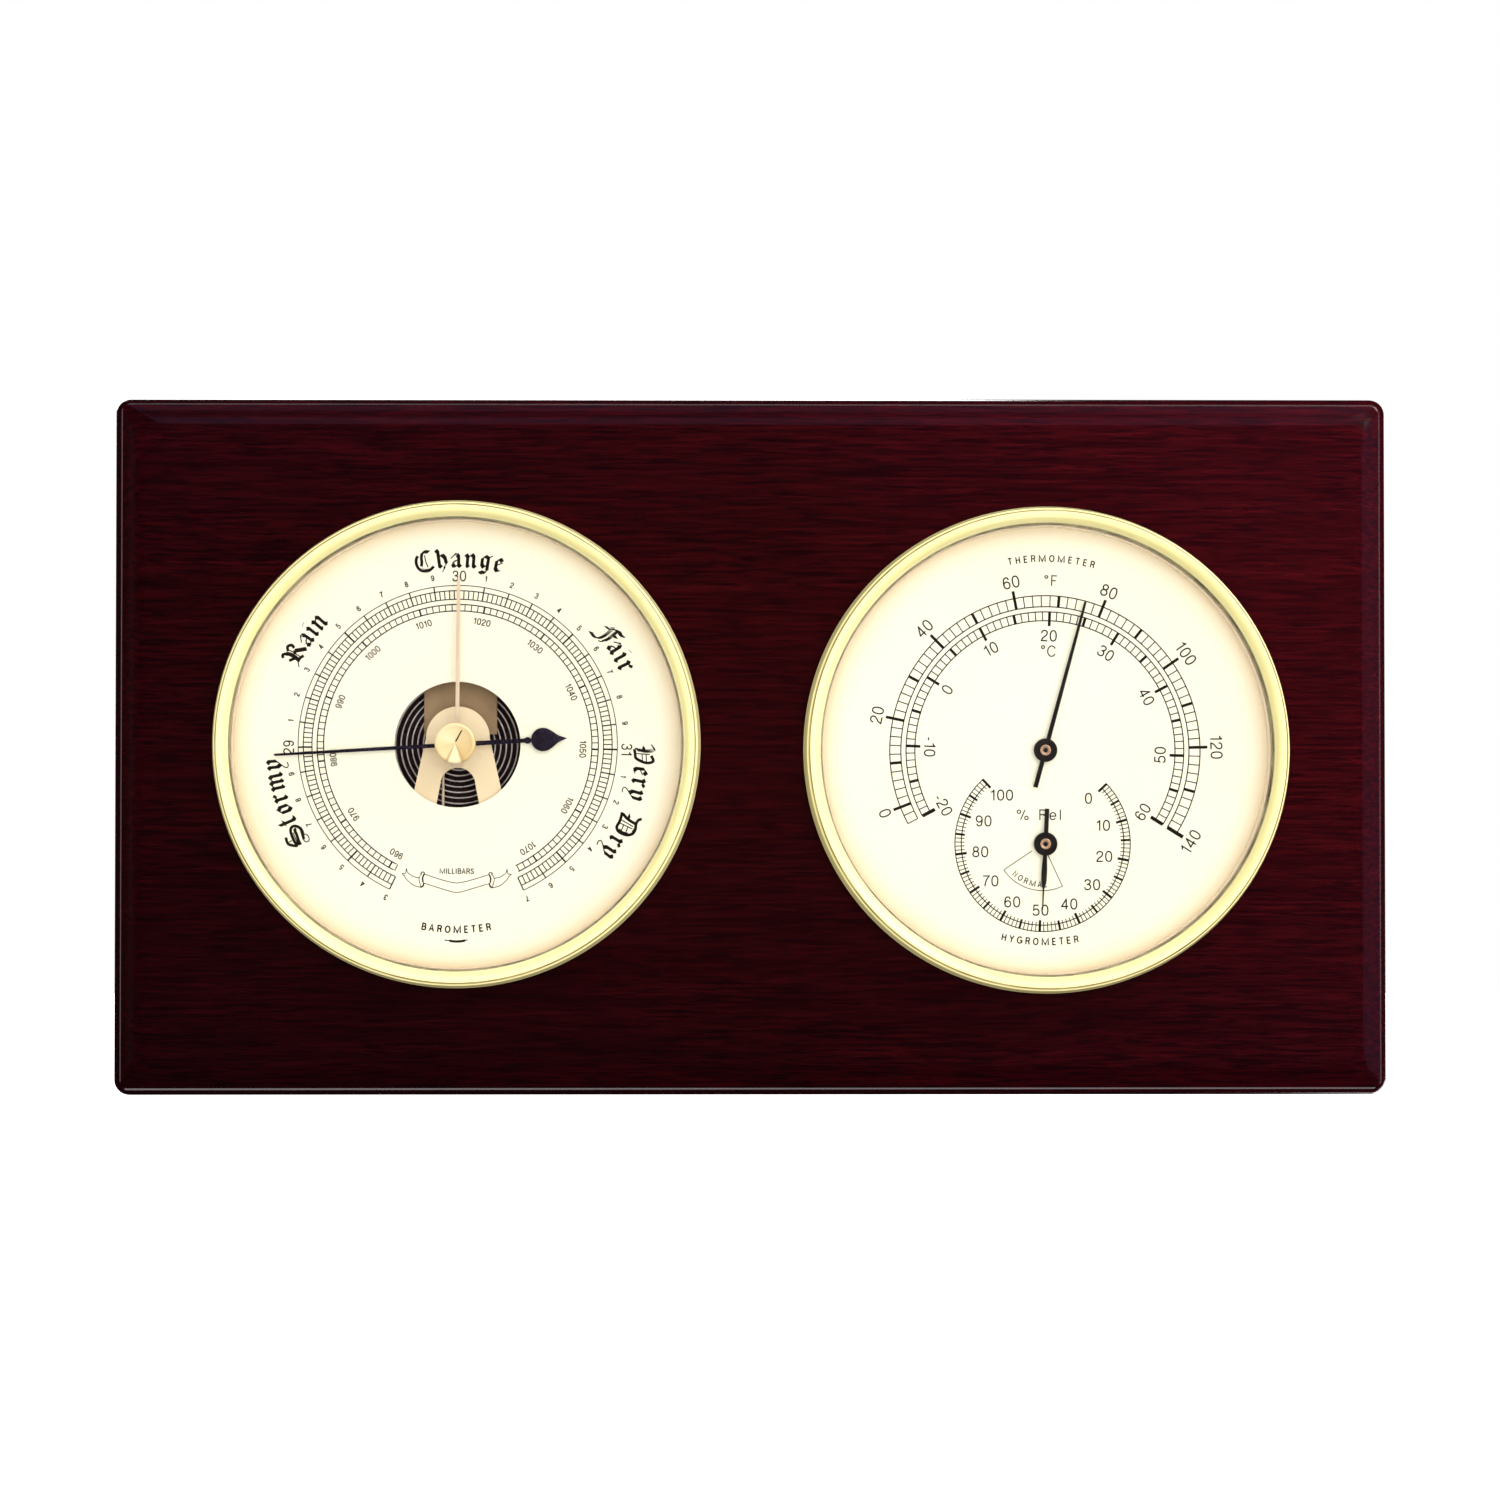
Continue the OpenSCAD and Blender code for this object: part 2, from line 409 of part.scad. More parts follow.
// Rocking shaft: an arm under the long lever and a finger under the sector's tail
fin_x = piv_x + 4;
fin_y = piv_y - 4 * sin(sec_rest) - 0.6 / cos(sec_rest) - 0.5;
module rocker_shaft() color([0.80, 0.78, 0.74]) at_baro() {
    translate([-9.7, rock_y, rock_h]) rotate([0, 90, 0]) cylinder(r = 0.8, h = 27.1, $fn = 48);
    side([[rock_y, rock_h - 0.6], [rock_y + 0.9, rock_h - 0.3], [-18.9, -9.6], [-18.0, -9.45], [-18.0, -8.95],
        [-19.4, -8.95], [rock_y - 0.3, rock_h + 0.6]], lever_x - 0.8, lever_x + 0.8);
    side([[rock_y, rock_h - 0.6], [rock_y + 0.9, rock_h - 0.3], [fin_y + 0.5, -8.9], [fin_y + 0.5, -8.3],
        [fin_y - 0.5, -8.3], [rock_y - 0.6, rock_h + 0.3]], fin_x - 0.6, fin_x + 0.6);
    translate([fin_x, fin_y, 0]) disc(0.4, -8.6, -6.0, 48);
}
module rocker_bracket() color([0.80, 0.68, 0.42]) at_baro() difference() {
    union() {
        slab(-9.6, 17.3, -24.4, -21.6, plate_hi, -17.0);
        for (x = [-9.6, 16.1]) slab(x, x + 1.2, -24.4, -21.6, -17.0, -10.6);
    }
    translate([-12, rock_y, rock_h]) rotate([0, 90, 0]) cylinder(r = 0.85, h = 32, $fn = 48);
}

// ---------------------------------------------- thermometer and hygrometer
module thermo_case() color([0.80, 0.68, 0.40]) at_thermo() case_cup(vent_pos, 2.0);
module thermo_fit_ring() color([0.09, 0.09, 0.09]) at_thermo() fit_ring();
module thermo_bezel() color([0.95, 0.80, 0.42]) at_thermo() bezel();
module thermo_gasket() color([0.25, 0.22, 0.18]) at_thermo() gasket();
module thermo_glass() color([0.8, 0.9, 0.95, 0.3]) at_thermo() glass_disc();
module thermo_dial() color([1.0, 0.98, 0.90]) at_thermo() difference() {
    disc(dial_r, dial_lo, dial_hi, 180);
    disc(1.5, dial_lo - 1, dial_hi + 1, 48);
    translate([0, -hygro_drop, 0]) disc(1.5, dial_lo - 1, dial_hi + 1, 48);
}
module thermo_dial_pillars() color([0.75, 0.73, 0.70]) at_thermo() pillars();
module thermo_case_screws() color([0.72, 0.70, 0.66]) at_thermo() case_screw_set([], 0);
// Yoke behind the dial: a cross bar with a bearing, two legs with feet on the
// dial's back, and a post for the coil's outer end
module yoke(half, w, post) difference() {
    union() {
        slab(-half, half, -w, w, -12.6, -11.8);
        for (s = [-1, 1]) {
            slab(s > 0 ? half - 0.8 : -half, s > 0 ? half : -half + 0.8, -w, w, -12.6, dial_lo);
            slab(s > 0 ? half - 0.8 : -half - 3.6, s > 0 ? half + 3.6 : -half + 0.8, -w, w, dial_lo - 0.8, dial_lo);
        }
        slab(post, post + 0.8, -1.3, 1.3, -11.9, -7.2);
    }
    disc(0.65, -14, -10, 48);
}
module thermo_bracket() color([0.82, 0.70, 0.44]) at_thermo() yoke(12.6, 2.5, 8.95);
module thermo_coil() color([0.72, 0.62, 0.48]) at_thermo() translate([0, 0, -10.8]) linear_extrude(height = 3.4)
    polygon(coil_pts(1.6, 1.195, 6, 0.35, 15));
module eyelet_arbor() {
    disc(0.6, -12.5, -1.9, 48);
    disc(1.4, -11.2, -7.0, 48);
    ring(0.55, 1.2, hand_hi - 0.1, -1.85, 48);
}
module thermo_arbor() color([0.86, 0.68, 0.45]) at_thermo() eyelet_arbor();
module thermo_hand() color([0.09, 0.08, 0.09]) at_thermo() rotate([0, 0, -thermo_at]) difference() {
    union() {
        disc(2.6, hand_lo, hand_hi + 0.25);
        translate([0, 0, hand_lo]) linear_extrude(height = hand_hi - hand_lo)
            polygon([[-0.5, -8.5], [0.5, -8.5], [0.5, 0], [0.38, thermo_len * 0.6], [0.26, thermo_len - 0.3], [0, thermo_len],
                [-0.26, thermo_len - 0.3], [-0.38, thermo_len * 0.6], [-0.5, 0]]);
    }
    disc(0.6, hand_lo - 1, hand_hi + 1, 48);
    disc(1.2, hand_hi - 0.1, hand_hi + 1, 48);
}
module hygro_bracket() color([0.82, 0.70, 0.44]) at_hygro() yoke(10.6, 2.2, 7.16);
module hygro_coil() color([0.62, 0.56, 0.50]) at_hygro() translate([0, 0, -10.6]) linear_extrude(height = 3.0)
    polygon(coil_pts(1.6, 0.9, 6, 0.3, 15));
module hygro_arbor() color([0.86, 0.68, 0.45]) at_hygro() eyelet_arbor();
module hygro_hand() color([0.09, 0.08, 0.09]) at_hygro() rotate([0, 0, -hygro_at]) difference() {
    union() {
        disc(2.6, hand_lo, hand_hi + 0.25);
        translate([0, 0, hand_lo]) linear_extrude(height = hand_hi - hand_lo) {
            polygon([[-0.5, -7.8], [0.5, -7.8], [0.45, 0], [-0.45, 0]]);
            polygon([[-0.45, 0], [0.45, 0], [0.42, 2.6], [0.54, 4.4], [0.62, 6.6], [0.60, 8.2], [0.42, 9.3], [0.18, 9.9],
                [0.13, hygro_len - 0.3], [0, hygro_len], [-0.13, hygro_len - 0.3], [-0.18, 9.9], [-0.42, 9.3],
                [-0.60, 8.2], [-0.62, 6.6], [-0.54, 4.4], [-0.42, 2.6]]);
        }
    }
    disc(0.6, hand_lo - 1, hand_hi + 1, 48);
    disc(1.2, hand_hi - 0.1, hand_hi + 1, 48);
}

board();
hanger_plate_left();
hanger_plate_right();
hanger_screws();
baro_case();
baro_fit_ring();
baro_bezel();
baro_gasket();
baro_glass();
glass_bush();
bush_washer();
set_knob();
set_hand();
pressure_hand();
hand_arbor();
baro_dial();
baro_dial_pillars();
baro_case_screws();
base_plate();
plate_spacers();
aneroid_capsule();
capsule_nut();
capsule_stud();
main_spring();
spring_block();
spring_screws();
adjusting_screw();
movement_bridge();
bridge_screws();
arbor_bush();
lower_plate();
plate_pillars();
gear_sector();
hairspring();
long_lever();
lever_bracket();
rocker_shaft();
rocker_bracket();
thermo_case();
thermo_fit_ring();
thermo_bezel();
thermo_gasket();
thermo_glass();
thermo_dial();
thermo_dial_pillars();
thermo_case_screws();
thermo_bracket();
thermo_coil();
thermo_arbor();
thermo_hand();
hygro_bracket();
hygro_coil();
hygro_arbor();
hygro_hand();
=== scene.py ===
import math

import bmesh
import bpy
from mathutils import Matrix, Vector


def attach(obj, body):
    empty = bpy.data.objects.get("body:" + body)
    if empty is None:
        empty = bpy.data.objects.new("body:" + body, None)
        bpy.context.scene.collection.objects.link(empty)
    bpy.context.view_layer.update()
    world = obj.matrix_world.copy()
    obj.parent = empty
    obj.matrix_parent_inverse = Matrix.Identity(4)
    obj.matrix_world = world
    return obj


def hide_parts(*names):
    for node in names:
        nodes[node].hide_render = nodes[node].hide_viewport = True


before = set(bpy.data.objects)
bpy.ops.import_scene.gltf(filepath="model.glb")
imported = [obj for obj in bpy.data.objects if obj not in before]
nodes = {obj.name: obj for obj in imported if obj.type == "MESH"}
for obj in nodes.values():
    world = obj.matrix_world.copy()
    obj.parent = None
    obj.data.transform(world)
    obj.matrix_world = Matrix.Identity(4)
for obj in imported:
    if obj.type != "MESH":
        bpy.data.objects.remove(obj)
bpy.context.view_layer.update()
scene = bpy.context.scene

# ---------------------------------------------------------------- frames
BOARD_W, BOARD_H, BOARD_T = 281.0, 154.0, 24.0
DIAL_X, BARO_Z, THERMO_Z, HYGRO_DROP = 64.9, 0.3, -0.9, 20.7
MM = 0.001


def seat(cx, cz):
    """x to the right, y up and z towards the viewer, in millimetres, from the board's front face."""
    m = Matrix(((1, 0, 0, cx * MM), (0, 0, -1, -BOARD_T * MM), (0, 1, 0, cz * MM), (0, 0, 0, 1)))
    return m @ Matrix.Diagonal((MM, MM, MM, 1))


BARO, THERMO, HYGRO = seat(-DIAL_X, BARO_Z), seat(DIAL_X, THERMO_Z), seat(DIAL_X, THERMO_Z - HYGRO_DROP)
ROW = Matrix.Diagonal((MM, MM, MM, 1))


# ------------------------------------------------------------- materials
class Tree:
    """A small helper that builds a node material."""

    def __init__(self, name):
        self.mat = bpy.data.materials.new(name)
        self.mat.use_nodes = True
        self.t = self.mat.node_tree
        self.b = self.t.nodes["Principled BSDF"]
        self.out = self.t.nodes["Material Output"]
        self._co = None

    def node(self, kind, **values):
        n = self.t.nodes.new(kind)
        for k, v in values.items():
            setattr(n, k, v)
        return n

    def link(self, a, b):
        self.t.links.new(a, b)

    def co(self):
        if self._co is None:
            self._co = self.node("ShaderNodeTexCoord").outputs["Object"]
        return self._co

    def place(self, scale=(1, 1, 1), loc=(0, 0, 0), rot=(0, 0, 0)):
        n = self.node("ShaderNodeMapping")
        self.link(self.co(), n.inputs["Vector"])
        n.inputs["Scale"].default_value = scale
        n.inputs["Location"].default_value = loc
        n.inputs["Rotation"].default_value = rot
        return n.outputs["Vector"]

    def noise(self, scale, detail=3.0, rough=0.55, vector=None, distort=0.0):
        n = self.node("ShaderNodeTexNoise")
        self.link(self.co() if vector is None else vector, n.inputs["Vector"])
        n.inputs["Scale"].default_value = scale
        n.inputs["Detail"].default_value = detail
        n.inputs["Roughness"].default_value = rough
        n.inputs["Distortion"].default_value = distort
        return n.outputs["Fac"]

    def ramp(self, fac, stops):
        n = self.node("ShaderNodeValToRGB")
        self.link(fac, n.inputs["Fac"])
        el = n.color_ramp.elements
        while len(el) < len(stops):
            el.new(0.5)
        for e, (p, c) in zip(el, stops):
            e.position = p
            e.color = (*c, 1) if len(c) == 3 else c
        return n.outputs["Color"]

    def spread(self, fac, lo, hi, a=0.3, b=0.7):
        n = self.node("ShaderNodeMapRange")
        self.link(fac, n.inputs["Value"])
        n.inputs["From Min"].default_value = a
        n.inputs["From Max"].default_value = b
        n.inputs["To Min"].default_value = lo
        n.inputs["To Max"].default_value = hi
        return n.outputs["Result"]

    def math(self, op, a, b=None, c=None):
        n = self.node("ShaderNodeMath", operation=op)
        for i, v in enumerate((a, b, c)):
            if v is None:
                continue
            if isinstance(v, (int, float)):
                n.inputs[i].default_value = v
            else:
                self.link(v, n.inputs[i])
        return n.outputs[0]

    def mix(self, fac, a, b, blend="MIX"):
        n = self.node("ShaderNodeMix", data_type="RGBA", blend_type=blend)
        if isinstance(fac, (int, float)):
            n.inputs[0].default_value = fac
        else:
            self.link(fac, n.inputs[0])
        for i, v in ((6, a), (7, b)):
            if isinstance(v, tuple):
                n.inputs[i].default_value = (*v, 1)
            else:
                self.link(v, n.inputs[i])
        return n.outputs[2]

    def bump(self, height, distance, strength=1.0, normal=None):
        n = self.node("ShaderNodeBump")
        self.link(height, n.inputs["Height"])
        n.inputs["Distance"].default_value = distance
        n.inputs["Strength"].default_value = strength
        if normal is not None:
            self.link(normal, n.inputs["Normal"])
        return n.outputs["Normal"]

    def set(self, **values):
        for k, v in values.items():
            s = self.b.inputs[k.replace("_", " ")]
            if hasattr(v, "node"):
                self.link(v, s)
            elif isinstance(v, tuple) and len(v) == 3:
                s.default_value = (*v, 1) if s.type == "RGBA" else v
            else:
                s.default_value = v
        return self


def radius_from(t, axis):
    """Distance from an axis along y, in metres."""
    m = t.node("ShaderNodeVectorMath", operation="SUBTRACT")
    t.link(t.co(), m.inputs[0])
    m.inputs[1].default_value = axis
    s = t.node("ShaderNodeSeparateXYZ")
    t.link(m.outputs[0], s.inputs[0])
    r = t.math("SQRT", t.math("ADD", t.math("MULTIPLY", s.outputs["X"], s.outputs["X"]), t.math("MULTIPLY", s.outputs["Z"], s.outputs["Z"])))
    return r, s.outputs["X"], s.outputs["Y"], s.outputs["Z"]


def wood():
    """Dark stained wood under gloss lacquer: fine short streaks along x, slow drifts of tone, near-black pores."""
    t = Tree("lacquered_wood")
    warp = t.noise(14.0, 2.0, 0.5, t.place((0.3, 1, 1)))
    v = t.node("ShaderNodeVectorMath", operation="MULTIPLY_ADD")
    t.link(warp, v.inputs[0])
    v.inputs[1].default_value = (0.0, 0.004, 0.004)
    t.link(t.co(), v.inputs[2])

    def along(sx):
        m = t.node("ShaderNodeMapping")
        t.link(v.outputs[0], m.inputs["Vector"])
        m.inputs["Scale"].default_value = (sx, 1.0, 1.0)
        return m.outputs["Vector"]

    band = t.noise(230.0, 3.0, 0.6, along(0.04))
    streak = t.noise(1250.0, 3.0, 0.66, along(0.045))
    dash = t.noise(1500.0, 2.0, 0.5, along(0.07))
    pores = t.noise(2300.0, 1.0, 0.4, along(0.09))
    cloud = t.noise(9.0, 2.0, 0.5)
    base = t.ramp(band, [(0.30, (0.0122, 0.00008, 0.00050)), (0.50, (0.0150, 0.00010, 0.00062)), (0.70, (0.0186, 0.00012, 0.00075))])
    fine = t.ramp(streak, [(0.28, (0.40, 0.50, 0.60)), (0.50, (1.0, 1.0, 1.0)), (0.72, (1.85, 1.60, 1.50))])
    c = t.mix(1.0, base, fine, "MULTIPLY")
    c = t.mix(t.spread(dash, 0.0, 0.85, 0.53, 0.64), c, (0.0040, 0.00008, 0.0006))
    c = t.mix(t.spread(pores, 0.60, 0.0, 0.33, 0.45), c, (0.0028, 0.00008, 0.0006))
    c = t.mix(t.spread(cloud, 0.0, 0.25), c, (0.018, 0.0002, 0.0014))
    # painted light, partly the stain's own tone: the colour is painted lighter and bluer towards the right-hand end and
    # the top, where the light and its sheen fall, and darker towards the lower edge
    s = t.node("ShaderNodeSeparateXYZ")
    t.link(t.co(), s.inputs[0])
    side = t.spread(s.outputs["X"], 0.0, 1.0, -0.14, 0.14)
    c = t.mix(1.0, c, t.ramp(side, [(0.0, (0.74, 0.98, 1.15)), (0.5, (1.0, 1.0, 1.0)), (1.0, (1.62, 1.75, 2.0))]), "MULTIPLY")
    up = t.spread(s.outputs["Z"], 0.0, 1.0, -0.075, 0.075)
    c = t.mix(1.0, c, t.ramp(up, [(0.0, (0.62, 0.66, 0.86)), (0.45, (1.0, 0.92, 0.92)), (0.75, (1.06, 1.0, 1.0)), (1.0, (1.16, 1.35, 1.55))]), "MULTIPLY")
    n = t.bump(t.math("ADD", t.math("MULTIPLY", streak, 0.5), pores), 0.00002, 0.3)
    coat = t.bump(t.math("ADD", t.noise(60.0, 2.0, 0.5), t.math("MULTIPLY", t.noise(420.0, 2.0, 0.5), 0.10)), 0.00010, 0.18)
    t.set(Base_Color=c, Roughness=t.spread(streak, 0.50, 0.62), Normal=n)
    t.b.inputs["Specular IOR Level"].default_value = 0.0
    t.b.inputs["Coat Weight"].default_value = 1.0
    t.b.inputs["Coat Roughness"].default_value = 0.15
    t.b.inputs["Coat IOR"].default_value = 1.5
    t.link(coat, t.b.inputs["Coat Normal"])
    return t.mat


def metal(name, low, high, rough=(0.1, 0.2), grain=900.0, bump=0.000004, aniso=0.0, specks=0.0, metallic=1.0, turned=None,
          cloud=30.0, coat=0.0, marks_tone=0.08, wall=None, rings=()):
    """Metal with cloudy tone, fine scratches and, where turned is given, concentric tool marks about that axis.
    wall gives the tone of the inside wall in front of the dial, which is painted."""
    t = Tree(name)
    a = t.noise(cloud, 3.0, 0.55)
    b = t.noise(grain, 2.0, 0.6)
    col = t.mix(t.spread(a, 0.0, 1.0), low, high)
    if specks:
        col = t.mix(t.spread(t.noise(grain * 0.35, 4.0, 0.7), 0.0, specks, 0.56, 0.72), col, tuple(x * 0.45 for x in low))
    h = b
    metal_level = metallic
    if turned is not None:
        r, _, y, _ = radius_from(t, turned)
        c = t.node("ShaderNodeCombineXYZ")
        t.link(r, c.inputs[0])
        t.link(t.math("MULTIPLY", y, 0.6), c.inputs[1])
        marks = t.noise(4200.0, 1.0, 0.5, c.outputs[0])
        h = t.math("ADD", t.math("MULTIPLY", b, 0.3), marks)
        col = t.mix(t.spread(marks, 0.0, marks_tone), col, tuple(x * 0.8 for x in low))
        if wall is not None:
            inside = t.math("MULTIPLY", t.math("LESS_THAN", r, 0.04945), t.math("LESS_THAN", y, -0.0195))
            col = t.mix(inside, col, t.mix(t.spread(a, 0.0, 1.0), wall, tuple(x * 0.94 for x in wall)))
            t.link(t.math("SUBTRACT", 1.0, inside), t.b.inputs["Metallic"])
            metal_level = None
        # dark lines: one in the outer groove, and a painted shadow line along the inner edge above the glass: (radius,
        # half width, colour)
        for r0, half, dull in rings:
            off = t.math("ABSOLUTE", t.math("SUBTRACT", r, r0))
            near = t.math("MULTIPLY", t.spread(off, 1.0, 0.0, half * 0.6, half * 1.2), t.spread(t.noise(120.0, 3.0, 0.6), 0.70, 1.0))
            col = t.mix(near, col, dull)
    t.link(col, t.b.inputs["Base Color"])
    t.set(Roughness=t.spread(t.noise(grain * 0.12, 3.0), rough[0], rough[1]), Normal=t.bump(h, bump, 0.6))
    if metal_level is not None:
        t.b.inputs["Metallic"].default_value = metal_level
    if aniso:
        t.b.inputs["Anisotropic"].default_value = aniso
        tangent = t.node("ShaderNodeTangent", direction_type="RADIAL", axis="Y")
        t.link(tangent.outputs[0], t.b.inputs["Tangent"])
    if coat:
        t.b.inputs["Coat Weight"].default_value = coat
        t.b.inputs["Coat Roughness"].default_value = 0.08
    return t.mat


def knob_brass():
    """Turned brass whose face carries a painted fan of wedges: bright painted highlights and dull painted reflections
    in turn.
    """
    t = Tree("turned_brass")
    r, x, y, z = radius_from(t, AX_B)
    turn = t.spread(t.math("ARCTAN2", x, z), 0.0, 1.0, -math.pi, math.pi)
    turn = t.math("ADD", turn, t.math("MULTIPLY", t.math("SUBTRACT", t.noise(300.0, 2.0), 0.5), 0.02))
    # painted highlights and dark painted reflections in wedges about the centre, as turned brass shows them under the
    # lamps
    painted_fan_glints = t.ramp(turn, [(0.0, (1.12, 1.12, 1.20)), (0.048, (1.12, 1.12, 1.20)), (0.064, (0.62, 0.50, 0.36)), (0.095, (0.98, 0.92, 0.82)), (0.20, (0.93, 0.87, 0.75)),
                        (0.34, (1.10, 1.09, 1.10)), (0.50, (1.06, 1.02, 1.0)), (0.62, (0.97, 0.91, 0.82)), (0.80, (0.92, 0.83, 0.68)), (0.90, (0.86, 0.75, 0.56)),
                        (0.935, (0.64, 0.52, 0.36)), (0.955, (1.12, 1.12, 1.20)), (1.0, (1.12, 1.12, 1.20))])
    marks = t.noise(3600.0, 1.0, 0.5, t.math("MULTIPLY", r, 1.0))
    col = t.mix(t.spread(t.noise(40.0, 3.0), 0.0, 1.0), (0.79, 0.655, 0.375), (0.83, 0.705, 0.42))
    col = t.mix(t.spread(marks, 0.0, 0.10), col, (0.70, 0.54, 0.28))
    t.set(Base_Color=t.mix(1.0, col, painted_fan_glints, "MULTIPLY"), Roughness=t.spread(t.noise(110.0, 3.0), 0.28, 0.36), Normal=t.bump(marks, 0.000002, 0.5))
    t.b.inputs["Metallic"].default_value = 0.30
    return t.mat


def capsule_skin():
    """Black lacquered capsule with painted bright highlight rings on the ridges of its front."""
    t = Tree("ringed_capsule")
    r, _, y, _ = radius_from(t, AX_B)
    wave = t.math("COSINE", t.math("MULTIPLY", t.math("SUBTRACT", r, 0.00055), 2 * math.pi / 0.00124))
    wobble = t.math("ADD", wave, t.math("MULTIPLY", t.math("SUBTRACT", t.noise(600.0, 2.0), 0.5), 0.35))
    ridge = t.spread(wobble, 0.0, 1.0, 0.60, 0.86)
    front = t.math("LESS_THAN", y, -0.0105)
    lacquer = t.mix(t.spread(t.noise(500.0, 3.0), 0, 1), (0.016, 0.007, 0.008), (0.034, 0.015, 0.017))
    # painted highlights: pale rings standing in for the glints on the corrugation crests
    painted_ring_glint = t.mix(t.spread(t.noise(900.0, 3.0), 0, 1), (0.66, 0.60, 0.58), (0.90, 0.84, 0.83))
    t.link(t.mix(t.math("MULTIPLY", ridge, front), lacquer, painted_ring_glint), t.b.inputs["Base Color"])
    t.set(Metallic=0.25, Roughness=t.spread(t.noise(700.0, 3.0), 0.25, 0.4), Normal=t.bump(t.noise(1500.0, 2.0), 0.000004, 0.5))
    return t.mat


def card(name, axis):
    """Ivory card, faintly clouded, with painted peach shade close to the rim, where the bezel shades it, strongest
    towards the lower left.
    """
    t = Tree(name)
    cloud, fine, edge = t.noise(22.0, 3.0), t.noise(2600.0, 2.0, 0.6), t.noise(30.0, 2.0)
    c = t.mix(t.spread(cloud, 0.0, 1.0), (0.955, 0.915, 0.745), (0.975, 0.945, 0.795))
    r, x, _, z = radius_from(t, axis)
    # painted shade: the card is darker and more peach towards the rim, most towards the lower left
    reach = t.spread(t.math("ADD", r, t.math("MULTIPLY", edge, 0.0016)), 0.0, 1.0, 0.0446, 0.0499)
    tone = t.mix(t.spread(t.math("ADD", x, z), 0.0, 1.0, -0.06, 0.06), (0.89, 0.77, 0.63), (1.0, 0.91, 0.82))
    c = t.mix(1.0, c, t.mix(t.math("POWER", reach, 1.5), (1.0, 1.0, 1.0), tone), "MULTIPLY")
    c = t.mix(t.spread(fine, 0.08, 0.0, 0.3, 0.5), c, (0.90, 0.84, 0.66))
    t.set(Base_Color=c, Roughness=t.spread(fine, 0.48, 0.6), Normal=t.bump(fine, 0.000005, 0.4))
    t.b.inputs["Specular IOR Level"].default_value = 0.3
    return t.mat


def ink(name, dark, light, keep=0.0):
    """Printed ink: slightly uneven, a little of the dial shows through."""
    t = Tree(name)
    fine, cloud = t.noise(3800.0, 3.0, 0.65), t.noise(260.0, 2.0)
    c = t.mix(t.math("MULTIPLY", t.spread(fine, 0.0, 1.0, 0.35, 0.75), t.spread(cloud, 0.35, 1.0)), dark, light)
    t.b.inputs["Specular IOR Level"].default_value = 0.15
    t.set(Base_Color=c, Roughness=t.spread(fine, 0.45, 0.6), Normal=t.bump(fine, 0.000004, 0.3))
    return t.mat


def glass():
    t = Tree("clear_glass")
    t.t.nodes.remove(t.b)
    clear = t.node("ShaderNodeBsdfTransparent")
    tone = t.ramp(t.noise(6.0, 1.0), [(0.3, (0.985, 0.99, 0.985)), (0.7, (0.99, 0.995, 0.99))])
    t.link(tone, clear.inputs["Color"])
    gloss = t.node("ShaderNodeBsdfGlossy")
    gloss.inputs["Roughness"].default_value = 0.02
    fres = t.node("ShaderNodeFresnel")
    fres.inputs["IOR"].default_value = 1.45
    smudge = t.bump(t.noise(45.0, 2.0), 0.00002, 0.05)
    t.link(smudge, gloss.inputs["Normal"])
    mixer = t.node("ShaderNodeMixShader")
    t.link(t.math("MULTIPLY", fres.outputs["Fac"], 0.75), mixer.inputs["Fac"])
    t.link(clear.outputs[0], mixer.inputs[1])
    t.link(gloss.outputs[0], mixer.inputs[2])
    t.link(mixer.outputs[0], t.out.inputs["Surface"])
    return t.mat


def rubber():
    t = Tree("black_rubber")
    f = t.noise(1400.0, 4.0, 0.6)
    t.set(Base_Color=t.mix(t.spread(f, 0, 1), (0.012, 0.012, 0.013), (0.03, 0.029, 0.028)), Roughness=t.spread(f, 0.6, 0.78),
          Normal=t.bump(f, 0.00003, 0.5))
    return t.mat


def cork():
    """Pale pressed cork of the glass gaskets."""
    t = Tree("pale_cork")
    f, g = t.noise(900.0, 4.0, 0.65), t.noise(2600.0, 2.0, 0.6)
    c = t.mix(t.spread(f, 0, 1), (0.78, 0.62, 0.44), (0.90, 0.76, 0.58))
    t.set(Base_Color=t.mix(t.spread(g, 0.35, 0.0, 0.3, 0.45), c, (0.52, 0.38, 0.25)), Roughness=t.spread(f, 0.7, 0.85), Normal=t.bump(f, 0.00002, 0.4))
    return t.mat


def black_paint(name, low, high, rough=(0.28, 0.4), coat=0.3):
    t = Tree(name)
    f, g = t.noise(2200.0, 3.0, 0.6), t.noise(90.0, 2.0)
    t.set(Base_Color=t.mix(t.spread(g, 0, 1), low, high), Roughness=t.spread(f, rough[0], rough[1]), Normal=t.bump(f, 0.000005, 0.4))
    t.b.inputs["Coat Weight"].default_value = coat
    t.b.inputs["Coat Roughness"].default_value = 0.12
    return t.mat


